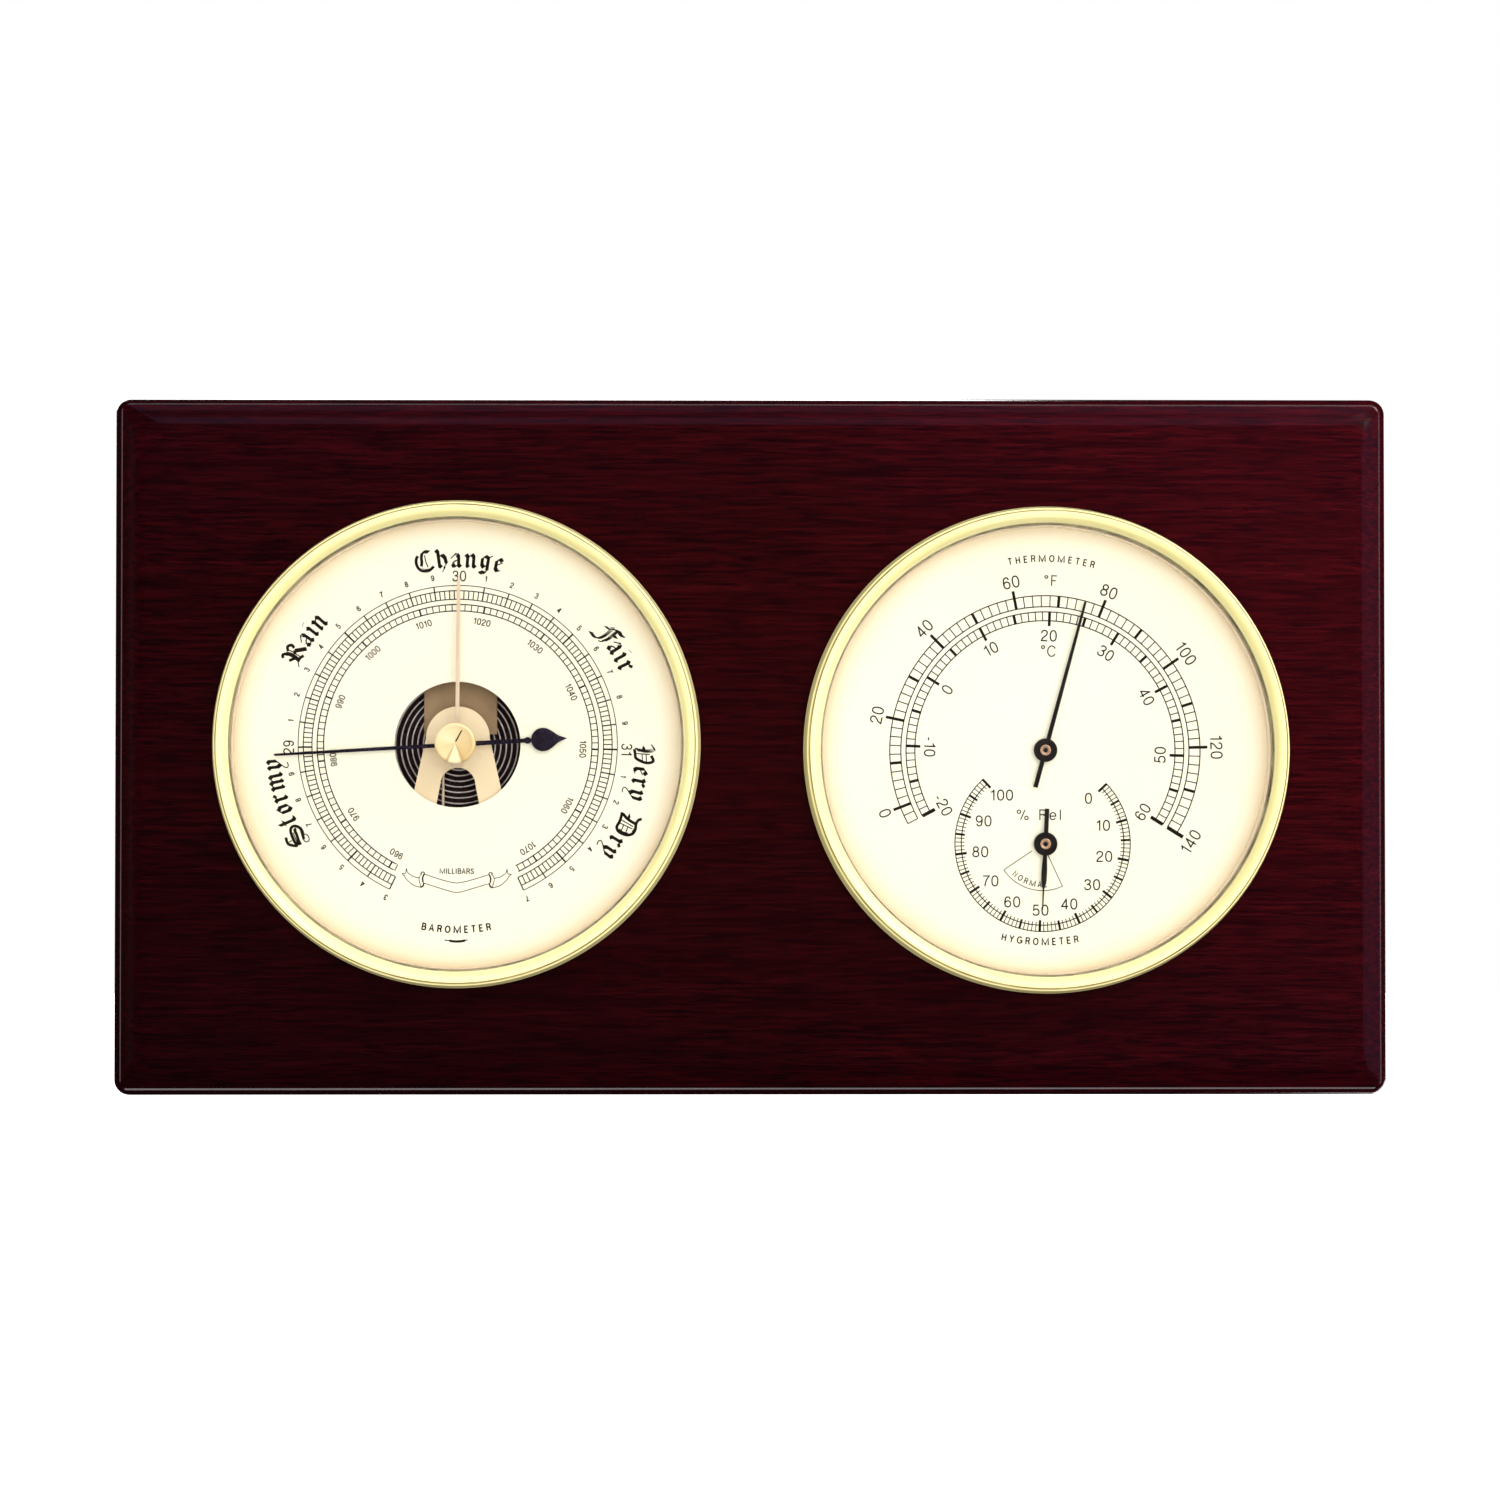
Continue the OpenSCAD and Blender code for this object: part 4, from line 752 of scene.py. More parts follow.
# Plain letters and numbers drawn in one line width, 1 high: (width, [(closed, points), ...])
SIX = bend((0.45, 0.74), (0.38, 0.91), (0.26, 0.955), (0.11, 0.85), (0.045, 0.50), (0.07, 0.20), (0.25, 0.045), (0.43, 0.13), (0.48, 0.32), (0.42, 0.52),
           (0.27, 0.60), (0.11, 0.52), (0.052, 0.36))
LINE = {
    "0": (0.54, [(True, oval(0.27, 0.5, 0.225, 0.455, power=0.85, n=24))]),
    "1": (0.40, [(False, [(0.06, 0.77), (0.18, 0.80), (0.27, 0.90), (0.30, 0.99)]), (False, [(0.29, 1.0), (0.29, 0.0)])]),
    "2": (0.54, [(False, bend((0.05, 0.68), (0.09, 0.87), (0.27, 0.955), (0.45, 0.86), (0.47, 0.69), (0.38, 0.50), (0.15, 0.29), (0.05, 0.045)) + [(0.50, 0.045)])]),
    "3": (0.54, [(False, bend((0.06, 0.74), (0.12, 0.91), (0.27, 0.955), (0.43, 0.88), (0.45, 0.71), (0.37, 0.57), (0.20, 0.53))),
                 (False, bend((0.20, 0.53), (0.40, 0.49), (0.49, 0.30), (0.42, 0.10), (0.26, 0.045), (0.10, 0.09), (0.04, 0.27)))]),
    "4": (0.56, [(False, [(0.53, 0.27), (0.04, 0.27), (0.39, 0.95)]), (False, [(0.39, 1.0), (0.39, 0.0)])]),
    "5": (0.54, [(False, [(0.46, 0.955), (0.12, 0.955), (0.065, 0.49)] + bend((0.065, 0.49), (0.16, 0.58), (0.30, 0.60), (0.44, 0.52), (0.49, 0.33), (0.43, 0.12),
                                                                            (0.25, 0.045), (0.10, 0.09), (0.04, 0.24))[1:])]),
    "6": (0.54, [(False, SIX)]),
    "7": (0.52, [(False, [(0.03, 0.955)] + bend((0.49, 0.955), (0.30, 0.62), (0.20, 0.28), (0.17, 0.0)))]),
    "8": (0.54, [(True, oval(0.27, 0.745, 0.185, 0.21)), (True, oval(0.27, 0.29, 0.225, 0.245))]),
    "9": (0.54, [(False, [(0.54 - x, 1.0 - y) for x, y in SIX])]),
    "-": (0.30, [(False, [(0.03, 0.36), (0.27, 0.36)])]),
    "\u00b0": (0.46, [(True, oval(0.16, 0.83, 0.125, 0.125, n=14))]),
    "%": (1.06, [(True, oval(0.20, 0.79, 0.15, 0.16, n=16)), (True, oval(0.86, 0.20, 0.15, 0.16, n=16)), (False, [(0.74, 0.98), (0.34, 0.02)])]),
    "A": (0.66, [(False, [(0.02, 0.0), (0.33, 1.0), (0.64, 0.0)]), (False, [(0.13, 0.33), (0.53, 0.33)])]),
    "B": (0.60, [(False, [(0.08, 0.0), (0.08, 0.96), (0.34, 0.96)] + bend((0.34, 0.96), (0.50, 0.88), (0.50, 0.62), (0.34, 0.53))[1:] + [(0.08, 0.53)]),
                 (False, [(0.30, 0.53)] + bend((0.34, 0.53), (0.55, 0.44), (0.55, 0.13), (0.34, 0.04))[0:] + [(0.08, 0.04)])]),
    "C": (0.70, [(False, oval(0.37, 0.5, 0.32, 0.46, 60, -240, 24))]),
    "E": (0.56, [(False, [(0.52, 0.96), (0.08, 0.96), (0.08, 0.04), (0.53, 0.04)]), (False, [(0.08, 0.52), (0.47, 0.52)])]),
    "F": (0.54, [(False, [(0.52, 0.96), (0.08, 0.96), (0.08, 0.0)]), (False, [(0.08, 0.50), (0.45, 0.50)])]),
    "G": (0.74, [(False, oval(0.38, 0.5, 0.33, 0.46, 50, -262, 26)), (False, [(0.42, 0.47), (0.70, 0.47), (0.70, 0.08)])]),
    "H": (0.66, [(False, [(0.08, 1.0), (0.08, 0.0)]), (False, [(0.58, 1.0), (0.58, 0.0)]), (False, [(0.08, 0.52), (0.58, 0.52)])]),
    "I": (0.22, [(False, [(0.11, 1.0), (0.11, 0.0)])]),
    "L": (0.50, [(False, [(0.08, 1.0), (0.08, 0.04), (0.48, 0.04)])]),
    "M": (1.02, [(False, [(0.07, 0.0), (0.07, 0.98), (0.51, 0.06), (0.95, 0.98), (0.95, 0.0)])]),
    "N": (0.68, [(False, [(0.08, 0.0), (0.08, 0.98), (0.60, 0.02), (0.60, 1.0)])]),
    "O": (0.76, [(True, oval(0.38, 0.5, 0.33, 0.46, n=26))]),
    "R": (0.62, [(False, [(0.08, 0.0), (0.08, 0.96), (0.36, 0.96)] + bend((0.36, 0.96), (0.54, 0.87), (0.54, 0.60), (0.36, 0.51))[1:] + [(0.08, 0.51)]),
                 (False, [(0.34, 0.51), (0.48, 0.40), (0.57, 0.0)])]),
    "S": (0.58, [(False, bend((0.52, 0.74), (0.44, 0.91), (0.29, 0.96), (0.12, 0.89), (0.08, 0.73), (0.18, 0.58), (0.40, 0.48), (0.53, 0.33), (0.50, 0.14), (0.30, 0.04),
                                  (0.12, 0.10), (0.05, 0.28)))]),
    "T": (0.60, [(False, [(0.02, 0.96), (0.58, 0.96)]), (False, [(0.30, 0.96), (0.30, 0.0)])]),
    "Y": (0.62, [(False, [(0.02, 1.0), (0.31, 0.45), (0.60, 1.0)]), (False, [(0.31, 0.47), (0.31, 0.0)])]),
    "e": (0.54, [(False, [(0.06, 0.37), (0.48, 0.37)] + bend((0.48, 0.37), (0.43, 0.62), (0.27, 0.70), (0.09, 0.60), (0.05, 0.36), (0.10, 0.12), (0.28, 0.04), (0.46, 0.17))[1:])]),
    "l": (0.20, [(False, [(0.10, 1.0), (0.10, 0.0)])]),
    " ": (0.26, []),
}


def text_width(text, height, gap):
    return sum(LINE[c][0] for c in text) * height + gap * height * (len(text) - 1)


def add_text(bm, m, text, height, base=0.0, weight=0.115, gap=0.13, stretch=1.0):
    """Numbers and letters in an even line, centred on x, standing on y = base."""
    x = -text_width(text, height, gap) * stretch / 2
    for k, ch in enumerate(text):
        width, paths = LINE[ch]
        for j, (closed, pts) in enumerate(paths):
            add_stroke(bm, m, [(x + px * height * stretch, base + py * height) for px, py in pts], weight * height, INK_LO, INK_HI + 0.0008 * j, closed)
        x += (width + gap) * height * stretch


def polar(m, deg, r, flip=False):
    """A frame at radius r, deg clockwise from the top, with its y axis pointing outwards, or inwards if flipped."""
    f = m @ turned_to(deg) @ Matrix.Translation((0, r, 0))
    return f @ Matrix.Rotation(math.pi, 4, "Z") if flip else f


def arc_text(bm, m, text, radius, centre, height, span, inward=False, weight=0.16):
    """Spaced capitals along an arc span mm long. inward turns their feet towards the rim, for text along the bottom."""
    widths = [LINE[c][0] * height for c in text]
    gap = (span - sum(widths)) / (len(text) - 1)
    pos = -span / 2
    for ch, w in zip(text, widths):
        a = math.degrees((pos + w / 2) / radius)
        add_text(bm, polar(m, centre + (-a if inward else a), radius, inward), ch, height, -height / 2, weight * (1.15 if ch == "M" else 1.0))
        pos += w + gap


def tick(bm, m, deg, r0, r1, w, lo=INK_LO, hi=INK_HI):
    f = m @ turned_to(deg)
    add_prism(bm, f, [(-w / 2, r0), (w / 2, r0), (w / 2, r1), (-w / 2, r1)], lo, hi)


# Letters written with a broad pen, on an x-height of 1: (width, [(kind, points), ...]).
# b is a broad stroke of straight parts, c a broad curved one, w a curved one of even width, h a hairline.
PEN = {
    "i": (0.34, [("b", [(0.00, 0.93), (0.14, 0.80), (0.14, 0.18), (0.28, 0.06)]), ("b", [(0.05, 1.34), (0.14, 1.26)])]),
    "n": (0.76, [("b", [(0.00, 0.93), (0.14, 0.80), (0.14, 0.16), (0.24, 0.06)]), ("b", [(0.18, 0.70), (0.42, 0.95), (0.56, 0.80), (0.56, 0.18), (0.70, 0.06)])]),
    "m": (1.18, [("b", [(0.00, 0.93), (0.14, 0.80), (0.14, 0.16), (0.24, 0.06)]), ("b", [(0.18, 0.70), (0.42, 0.95), (0.56, 0.80), (0.56, 0.16), (0.66, 0.06)]),
                 ("b", [(0.60, 0.70), (0.84, 0.95), (0.98, 0.80), (0.98, 0.18), (1.12, 0.06)])]),
    "r": (0.54, [("b", [(0.00, 0.93), (0.14, 0.80), (0.14, 0.18), (0.28, 0.06)]), ("b", [(0.20, 0.72), (0.34, 0.92), (0.48, 0.80)])]),
    "a": (0.70, [("b", [(0.08, 0.74), (0.24, 0.94), (0.40, 0.90), (0.50, 0.76), (0.50, 0.18), (0.64, 0.06)]), ("b", [(0.50, 0.56), (0.18, 0.44), (0.10, 0.24), (0.20, 0.06)]),
                 ("h", [(0.20, 0.03), (0.44, 0.22)])]),
    "o": (0.64, [("b", [(0.36, 0.95), (0.12, 0.76), (0.12, 0.22), (0.30, 0.05)]), ("b", [(0.28, 0.95), (0.52, 0.76), (0.52, 0.24), (0.28, 0.05)])]),
    "e": (0.56, [("b", [(0.34, 0.93), (0.12, 0.74), (0.12, 0.22), (0.28, 0.05)]), ("h", [(0.26, 0.03), (0.48, 0.16)]), ("b", [(0.28, 0.95), (0.50, 0.76)]),
                 ("h", [(0.54, 0.70), (0.16, 0.46)])]),
    "g": (0.72, [("b", [(0.32, 0.94), (0.12, 0.76), (0.12, 0.34), (0.26, 0.16), (0.48, 0.34)]), ("b", [(0.26, 0.95), (0.52, 0.84), (0.52, 0.02), (0.42, -0.22), (0.08, -0.14)]),
                 ("b", [(0.54, 0.88), (0.70, 0.94)]), ("h", [(0.08, -0.14), (0.00, -0.24), (0.22, -0.34)])]),
    "y": (0.70, [("b", [(0.00, 0.94), (0.13, 0.80), (0.13, 0.26), (0.30, 0.04)]), ("b", [(0.40, 0.97), (0.56, 0.82), (0.54, 0.36), (0.28, 0.02)]),
                 ("h", [(0.34, 0.10), (0.10, -0.16), (0.02, -0.36), (0.18, -0.46), (0.40, -0.40)])]),
    "h": (0.76, [("b", [(0.00, 1.30), (0.14, 1.14), (0.19, 0.20), (0.32, 0.08)]), ("b", [(0.40, 0.94), (0.60, 0.74), (0.66, 0.36), (0.56, 0.10)]),
                 ("h", [(0.16, 0.78), (0.44, 0.98)]), ("h", [(0.58, 0.10), (0.36, -0.22)])]),
    "t": (0.50, [("b", [(0.14, 1.26), (0.14, 0.20), (0.28, 0.06)]), ("h", [(0.28, 0.05), (0.44, 0.16)]), ("b", [(0.00, 0.90), (0.36, 0.90)])]),
    "C": (1.16, [("w", [(0.24, 1.10), (0.08, 0.84), (0.06, 0.48), (0.22, 0.14), (0.52, -0.02), (0.86, -0.02), (1.20, 0.20)]), ("c", [(0.28, 0.20), (0.50, 0.03), (0.84, 0.0)]),
                 ("w", [(0.56, 1.20), (0.46, 0.92), (0.44, 0.62), (0.36, 0.34)]), ("c", [(0.53, 1.22), (0.78, 1.29), (1.02, 1.22)]),
                 ("h", [(0.71, 1.07), (0.72, 0.61), (0.80, 0.20)])]),
    "R": (1.38, [("w", [(0.04, 1.20), (0.20, 1.33), (0.34, 1.24), (0.42, 1.04)]), ("w", [(0.42, 1.20), (0.54, 0.92), (0.54, 0.55), (0.47, 0.16)]),
                 ("w", [(0.36, 1.16), (0.46, 0.92), (0.46, 0.55), (0.40, 0.18)]), ("w", [(0.62, 1.12), (0.86, 1.32), (1.10, 1.14), (1.02, 0.88)]), ("w", [(0.66, 0.62), (0.90, 0.78)]),
                 ("w", [(0.84, 0.72), (1.08, 0.42), (1.36, 0.08)]), ("w", [(0.90, 0.78), (1.12, 0.50), (1.40, 0.16)]), ("w", [(0.08, 0.76), (0.26, 0.62), (0.44, 0.48)]),
                 ("h", [(0.42, 0.22), (0.22, 0.12), (0.04, -0.06)]), ("w", [(0.32, 0.20), (0.58, 0.20), (0.88, 0.06)]), ("h", [(0.74, 1.08), (0.70, 0.26)])]),
    "S": (1.42, [("w", [(0.44, 1.26), (0.66, 1.30), (1.00, 1.22)]), ("w", [(0.46, 1.26), (0.24, 1.02), (0.10, 0.78)]), ("h", [(0.60, 1.18), (0.62, 0.96)]),
                 ("w", [(0.10, 0.76), (0.46, 0.84), (0.90, 0.80), (1.26, 0.70), (1.42, 0.50), (1.36, 0.26), (1.12, 0.06)]),
                 ("w", [(0.06, 0.58), (0.40, 0.56), (0.80, 0.48), (1.14, 0.44), (1.16, 0.30)]), ("h", [(0.10, 0.68), (0.60, 0.68), (1.05, 0.62)]),
                 ("w", [(0.28, 0.20), (0.62, 0.12), (0.92, 0.03), (1.14, 0.06)]), ("c", [(0.60, 0.10), (0.86, 0.04), (1.08, 0.06)]),
                 ("h", [(0.31, 0.25), (0.06, 0.17), (0.04, -0.06), (0.30, -0.16), (0.56, -0.06)])]),
    "F": (1.32, [("c", [(0.76, 1.19), (0.86, 0.79), (0.86, 0.33), (0.74, -0.05), (0.46, -0.22), (0.08, -0.19)]), ("c", [(1.20, 1.32), (1.19, 0.95), (1.20, 0.50), (1.13, 0.13)]),
                 ("h", [(1.13, 0.13), (1.04, -0.06), (0.86, -0.15)]), ("c", [(0.92, 1.16), (1.26, 1.34), (1.50, 1.29), (1.72, 1.33)]), ("b", [(0.37, 0.83), (0.77, 0.92)]),
                 ("b", [(1.23, 0.91), (1.52, 0.90)])]),
    "V": (1.24, [("c", [(0.04, 1.18), (0.20, 1.30), (0.34, 1.15), (0.40, 0.84), (0.375, 0.47), (0.32, 0.09)]),
                 ("w", [(0.70, 1.12), (0.92, 1.26), (1.08, 1.28), (1.20, 1.02), (1.18, 0.66), (1.02, 0.26), (0.86, 0.06), (0.56, 0.02), (0.30, -0.06)]), ("b", [(0.12, 0.63), (0.46, 0.56)]),
                 ("h", [(0.62, 1.04), (0.60, 0.14)]), ("h", [(0.60, 0.78), (1.10, 0.82)]), ("h", [(0.60, 0.50), (1.05, 0.54)])]),
    "D": (1.60, [("w", [(0.02, 1.44), (0.18, 1.26), (0.48, 1.22), (0.84, 1.34), (1.16, 1.30), (1.42, 1.04), (1.50, 0.62), (1.43, 0.28), (1.20, 0.10), (0.89, 0.13), (0.53, 0.10),
                        (0.16, 0.02)]), ("c", [(0.50, 1.24), (0.86, 1.32), (1.18, 1.26)]), ("w", [(0.50, 1.15), (0.46, 0.74), (0.38, 0.42), (0.22, 0.10)]),
                 ("b", [(0.10, 0.58), (0.38, 0.58)]), ("w", [(1.36, 1.02), (1.42, 0.62), (1.34, 0.30)]), ("h", [(0.74, 1.12), (0.66, 0.19)]), ("h", [(0.90, 1.14), (0.90, 0.20)]),
                 ("h", [(0.90, 0.80), (1.34, 0.84)]), ("h", [(0.90, 0.48), (1.34, 0.50)])]),
}


def pen_word(bm, m, word, radius, centre, xh, span, nib=0.30, tilt=40.0):
    """A word along an arc about the dial's centre, span degrees long, feet towards it."""
    gap = 0.62 * word.count(" ")
    total = math.radians(span) * radius / xh
    spacing = (total - gap - sum(PEN[c][0] for c in word if c != " ")) / (len(word.replace(" ", "")) - 1)
    pos = -total / 2
    stroke = Vector((math.cos(math.radians(tilt)), math.sin(math.radians(tilt)))) * nib / 2
    for ch in word:
        if ch == " ":
            pos += 0.62
            continue
        width, paths = PEN[ch]
        thick = stroke * (0.98 if ch.isupper() else 0.94)
        f = polar(m, centre + math.degrees((pos + width / 2) * xh / radius), radius)
        for j, (kind, path) in enumerate(paths):
            if kind in "hw":
                add_stroke(bm, f, [((x - width / 2) * xh, y * xh) for x, y in (spline(path, 4) if len(path) > 2 else path)],
                           (0.075 if kind == "h" else 0.20) * xh, INK_LO, INK_HI - 0.002 + 0.0005 * j)
                continue
            if kind == "c":
                path = spline(path, 4)
            for k, (p, q) in enumerate(zip(path, path[1:])):
                p, q = Vector(p), Vector(q)
                d = q - p
                nv = thick
                if d.length < 1e-6:
                    continue
                if abs(d.x * nv.y - d.y * nv.x) < 0.07 * nv.length * 2 * d.length / max(d.length, 0.1):
                    side = Vector((-d.y, d.x)).normalized() * 0.04
                    quad = [p - nv - side, q + nv - side, q + nv + side, p - nv + side] if d.dot(nv) > 0 else [p + nv + side, q - nv + side, q - nv - side, p + nv - side]
                else:
                    quad = [p - nv, q - nv, q + nv, p + nv]
                pts = [((v.x - width / 2) * xh, v.y * xh) for v in quad]
                turn = sum(pts[i][0] * pts[(i + 1) % 4][1] - pts[(i + 1) % 4][0] * pts[i][1] for i in range(4))
                if abs(turn) < 1e-7:
                    continue
                add_prism(bm, f, pts if turn > 0 else pts[::-1], INK_LO, INK_HI + 0.0006 * ((k + j) % 4))
        pos += width + spacing


def build_baro_print():
    m = BARO @ Matrix.Translation((0.05, -0.05, 0)) @ turned_to(0.4)
    fine, bold, words, grey = bmesh.new(), bmesh.new(), bmesh.new(), bmesh.new()
    tenth_inch = 9.13
    end = 17 * tenth_inch
    lo, hi = INK_LO, INK_HI
    for r, w in ((35.2, 0.20), (34.05, 0.24), (32.15, 0.24)):
        add_ring(fine, m, r - w / 2, r + w / 2, lo, hi, -end, end)
    for r in (31.0, 29.58):
        add_ring(fine, m, r - 0.13, r + 0.13, lo, hi, -153.3, 154.0)
    for i in range(-85, 86):
        a = i * tenth_inch / 5
        big, half = i % 5 == 0, i % 25 == 0
        top = 35.2 if big or abs(i) == 85 else 34.05
        tick(bold if half else fine, m, a, 32.15, top, 0.38 if half else (0.30 if big else 0.24), lo, hi + 0.002)
    step = tenth_inch * 10 / 33.8639
    for mb in range(959, 1074):
        a = (mb - 1016.07) * step
        ten = mb % 10 == 0
        tick(bold if ten else fine, m, a, 29.5, 31.08, 0.38 if ten else 0.22, lo, hi + 0.002)
        if ten:
            add_text(grey, polar(m, a, 27.6), str(mb), 1.4, -0.70, 0.17, 0.14, 1.1)
    for i in range(-17, 18):
        a = i * tenth_inch
        tenth = (i + 300) % 10
        if tenth == 0:
            add_text(bold, polar(m, a, 37.3), str(30 + i // 10), 2.35, -1.18, 0.12, 0.13, 1.05)
        else:
            add_text(bold, polar(m, a, 37.2), str(tenth), 1.2, -0.60, 0.20)
    for word, a, span in (("Stormy", -109.1, 28.6), ("Rain", -55.8, 17.4), ("Change", -0.1, 27.3), ("Fair", 57.3, 17.0), ("Very Dry", 108.1, 37.1)):
        pen_word(words, m, word, 39.1, a, 3.22, span)
    arc_text(bold, m, "BAROMETER", 40.75, 180, 1.5, 15.2, True, 0.21)
    # a plain swelled rule under the title
    rule = polar(m, 180, 43.25, True)
    add_stroke(bold, rule, spline([(-2.6, 0.16), (-1.3, 0.02), (0.0, -0.14), (1.3, -0.04), (2.5, 0.24)], 4), 0.24)
    add_stroke(bold, rule, spline([(-1.5, 0.02), (-0.2, -0.14), (1.1, -0.08), (2.0, 0.10)], 4), 0.54, INK_LO, INK_HI + 0.001)
    add_text(bold, m @ Matrix.Translation((0, -27.9, 0)), "MILLIBARS", 1.15, -0.55, 0.19, 0.20, 1.0)
    # a plain ribbon with folded ends, drawn in thin lines
    for s in (-1, 1):
        for pts in ([(0, -30.5), (1.2 * s, -30.35), (4.0 * s, -29.6), (7.2 * s, -28.55)], [(0, -32.6), (1.2 * s, -32.4), (4.2 * s, -31.5), (7.4 * s, -30.5)],
                    [(7.6 * s, -28.4), (8.3 * s, -29.5), (7.9 * s, -31.3)], [(8.0 * s, -31.5), (9.6 * s, -31.0), (11.0 * s, -29.8), (11.6 * s, -28.8)],
                    [(8.3 * s, -29.4), (9.6 * s, -29.1), (10.9 * s, -28.2)], [(10.9 * s, -28.2), (11.1 * s, -27.4), (11.3 * s, -28.4), (12.0 * s, -28.5), (11.4 * s, -29.1)]):
            add_stroke(bold, m, spline(pts, 4), 0.17)
        add_stroke(bold, m, spline([(7.1 * s, -28.5), (7.5 * s, -29.4), (7.4 * s, -30.4)], 4), 0.34, INK_LO, INK_HI + 0.001)
        add_stroke(bold, m, spline([(7.0 * s, -28.4), (7.5 * s, -28.1), (8.0 * s, -28.5)], 4), 0.22, INK_LO, INK_HI + 0.002)
        add_stroke(bold, m, spline([(7.2 * s, -30.5), (7.4 * s, -31.2), (8.0 * s, -31.5)], 4), 0.34, INK_LO, INK_HI + 0.003)
    for bm, name, mat in ((fine, "baro_print_fine", "thin_ink"), (bold, "baro_print_bold", "ink"), (words, "baro_print_words", "word_ink"), (grey, "baro_print_grey", "grey_ink")):
        piece(name, bm, M[mat], "station", smooth=False)


def build_thermo_print():
    m = THERMO @ Matrix.Translation((0.0, -0.1, 0)) @ turned_to(2.0)
    fine, bold, text = bmesh.new(), bmesh.new(), bmesh.new()
    lo, hi = INK_LO, INK_HI
    for r in (34.35, 31.9, 30.75, 28.8):
        add_ring(fine, m, r - 0.13, r + 0.13, lo, hi, -120 if r < 31 else (-4 - 68) / 1.8 * 3, 120 if r < 31 else (140 - 68) / 1.8 * 3)
    for f in range(-4, 141, 2):
        a = (f - 68) / 1.8 * 3
        ten, big = f % 10 == 0, f % 20 == 0
        tick(bold if ten else fine, m, a, 31.9, 36.0 if big else 34.35, 0.85 if f == 140 else (0.64 if ten else 0.24), lo, hi + 0.002)
        if big:
            add_text(text, polar(m, a, 38.0, f == 140), str(f), 2.65, -1.32, 0.118, 0.13, 1.14)
    for c in range(-20, 61):
        a = (c - 20) * 3.0
        five, ten = c % 5 == 0, c % 10 == 0
        tick(bold if five else fine, m, a, 27.6 if ten else 28.8, 30.75, 0.80 if c in (-20, 60) else (0.62 if five else 0.24), lo, hi + 0.002)
        if ten:
            add_text(text, polar(m, a, 25.5, c in (-20, -10, 50, 60)), str(c), 2.5, -1.25, 0.122, 0.13, 1.16)
    add_text(text, polar(m, 0, 37.7), "\u00b0F", 2.35, -1.17, 0.11, 0.10, 1.08)
    add_text(text, polar(m, 0, 22.1), "\u00b0C", 2.5, -1.25, 0.108, 0.04, 1.1)
    arc_text(bold, m, "THERMOMETER", 42.6, 0, 1.45, 19.3, False, 0.18)
    # the hygrometer's own scale
    h = THERMO @ Matrix.Translation((-0.55, -HYGRO_DROP + 0.05, 0))
    for r in (19.4, 18.0):
        add_ring(fine, h, r - 0.12, r + 0.12, lo, hi, 47, 317)
    for p in range(0, 101):
        a = 47 + 2.7 * p
        five, ten = p % 5 == 0, p % 10 == 0
        tick(bold if five else fine, h, a, 16.9 if ten else 17.3, 19.45, 0.56 if ten else (0.50 if five else 0.20), lo, hi + 0.002)
        if ten:
            r = math.radians(a)
            f = h @ Matrix.Translation(((13.9 if p < 100 else 13.3) * math.sin(r), 14.7 * math.cos(r), 0))
            add_text(text, f, str(p), 2.4, -1.2, 0.125, 0.14, 1.2)
    add_text(text, h @ Matrix.Translation((-4.4, 6.4, 0)), "%", 2.3, -1.15, 0.11, 0.10, 1.1)
    add_text(text, h @ Matrix.Translation((1.7, 6.4, 0)), "Rel", 2.3, -1.15, 0.115, 0.20, 1.25)
    for a in (47 + 2.7 * 40, 47 + 2.7 * 70):
        tick(fine, h, a, 2.9, 10.4, 0.18, lo, hi)
    add_ring(fine, h, 10.27, 10.45, lo, hi, 47 + 2.7 * 40, 47 + 2.7 * 70)
    arc_text(bold, h, "NORMAL", 9.0, 199.5, 1.25, 8.0, True, 0.17)
    arc_text(bold, m, "HYGROMETER", 42.2, 179.6, 1.5, 17.0, True, 0.19)
    for bm, name, mat in ((fine, "thermo_print_fine", "thin_ink"), (bold, "thermo_print_bold", "ink"), (text, "thermo_print_numbers", "ink")):
        piece(name, bm, M[mat], "station", smooth=False)


build_board()
build_bezel("baro_bezel_rim", BARO, M["bezel_b"], "baro_bezel")
build_bezel("thermo_bezel_rim", THERMO, M["bezel_t"], "thermo_bezel")
build_card_rims()
build_hands()
build_knob()
build_capsule()
build_baro_print()
build_thermo_print()

# CAD nodes that keep their own shape get their finish here
KEEP = {
    "hanger_plate_left": "plate", "hanger_plate_right": "plate", "hanger_screws": "plate", "baro_case": "case_b", "thermo_case": "case_t",
    "baro_fit_ring": "rubber", "thermo_fit_ring": "rubber", "baro_gasket": "cork", "thermo_gasket": "cork", "baro_glass": "glass",
    "thermo_glass": "glass", "glass_bush": "works", "bush_washer": "works", "hand_arbor": "steel", "baro_dial": "dial", "thermo_dial": "dial_t",
    "baro_dial_pillars": "steel", "thermo_dial_pillars": "steel", "baro_case_screws": "steel", "thermo_case_screws": "steel",
    "base_plate": "steel", "plate_spacers": "works", "capsule_nut": "steel", "capsule_stud": "works", "main_spring": "spring",
    "spring_block": "works", "spring_screws": "steel", "adjusting_screw": "works", "movement_bridge": "gilt", "bridge_screws": "steel",
    "arbor_bush": "works", "lower_plate": "works", "plate_pillars": "works", "gear_sector": "works", "hairspring": "coil",
    "long_lever": "pale", "lever_bracket": "works", "rocker_shaft": "steel", "rocker_bracket": "works", "thermo_bracket": "works",
    "thermo_coil": "coil", "hygro_bracket": "works", "hygro_coil": "coil",
}
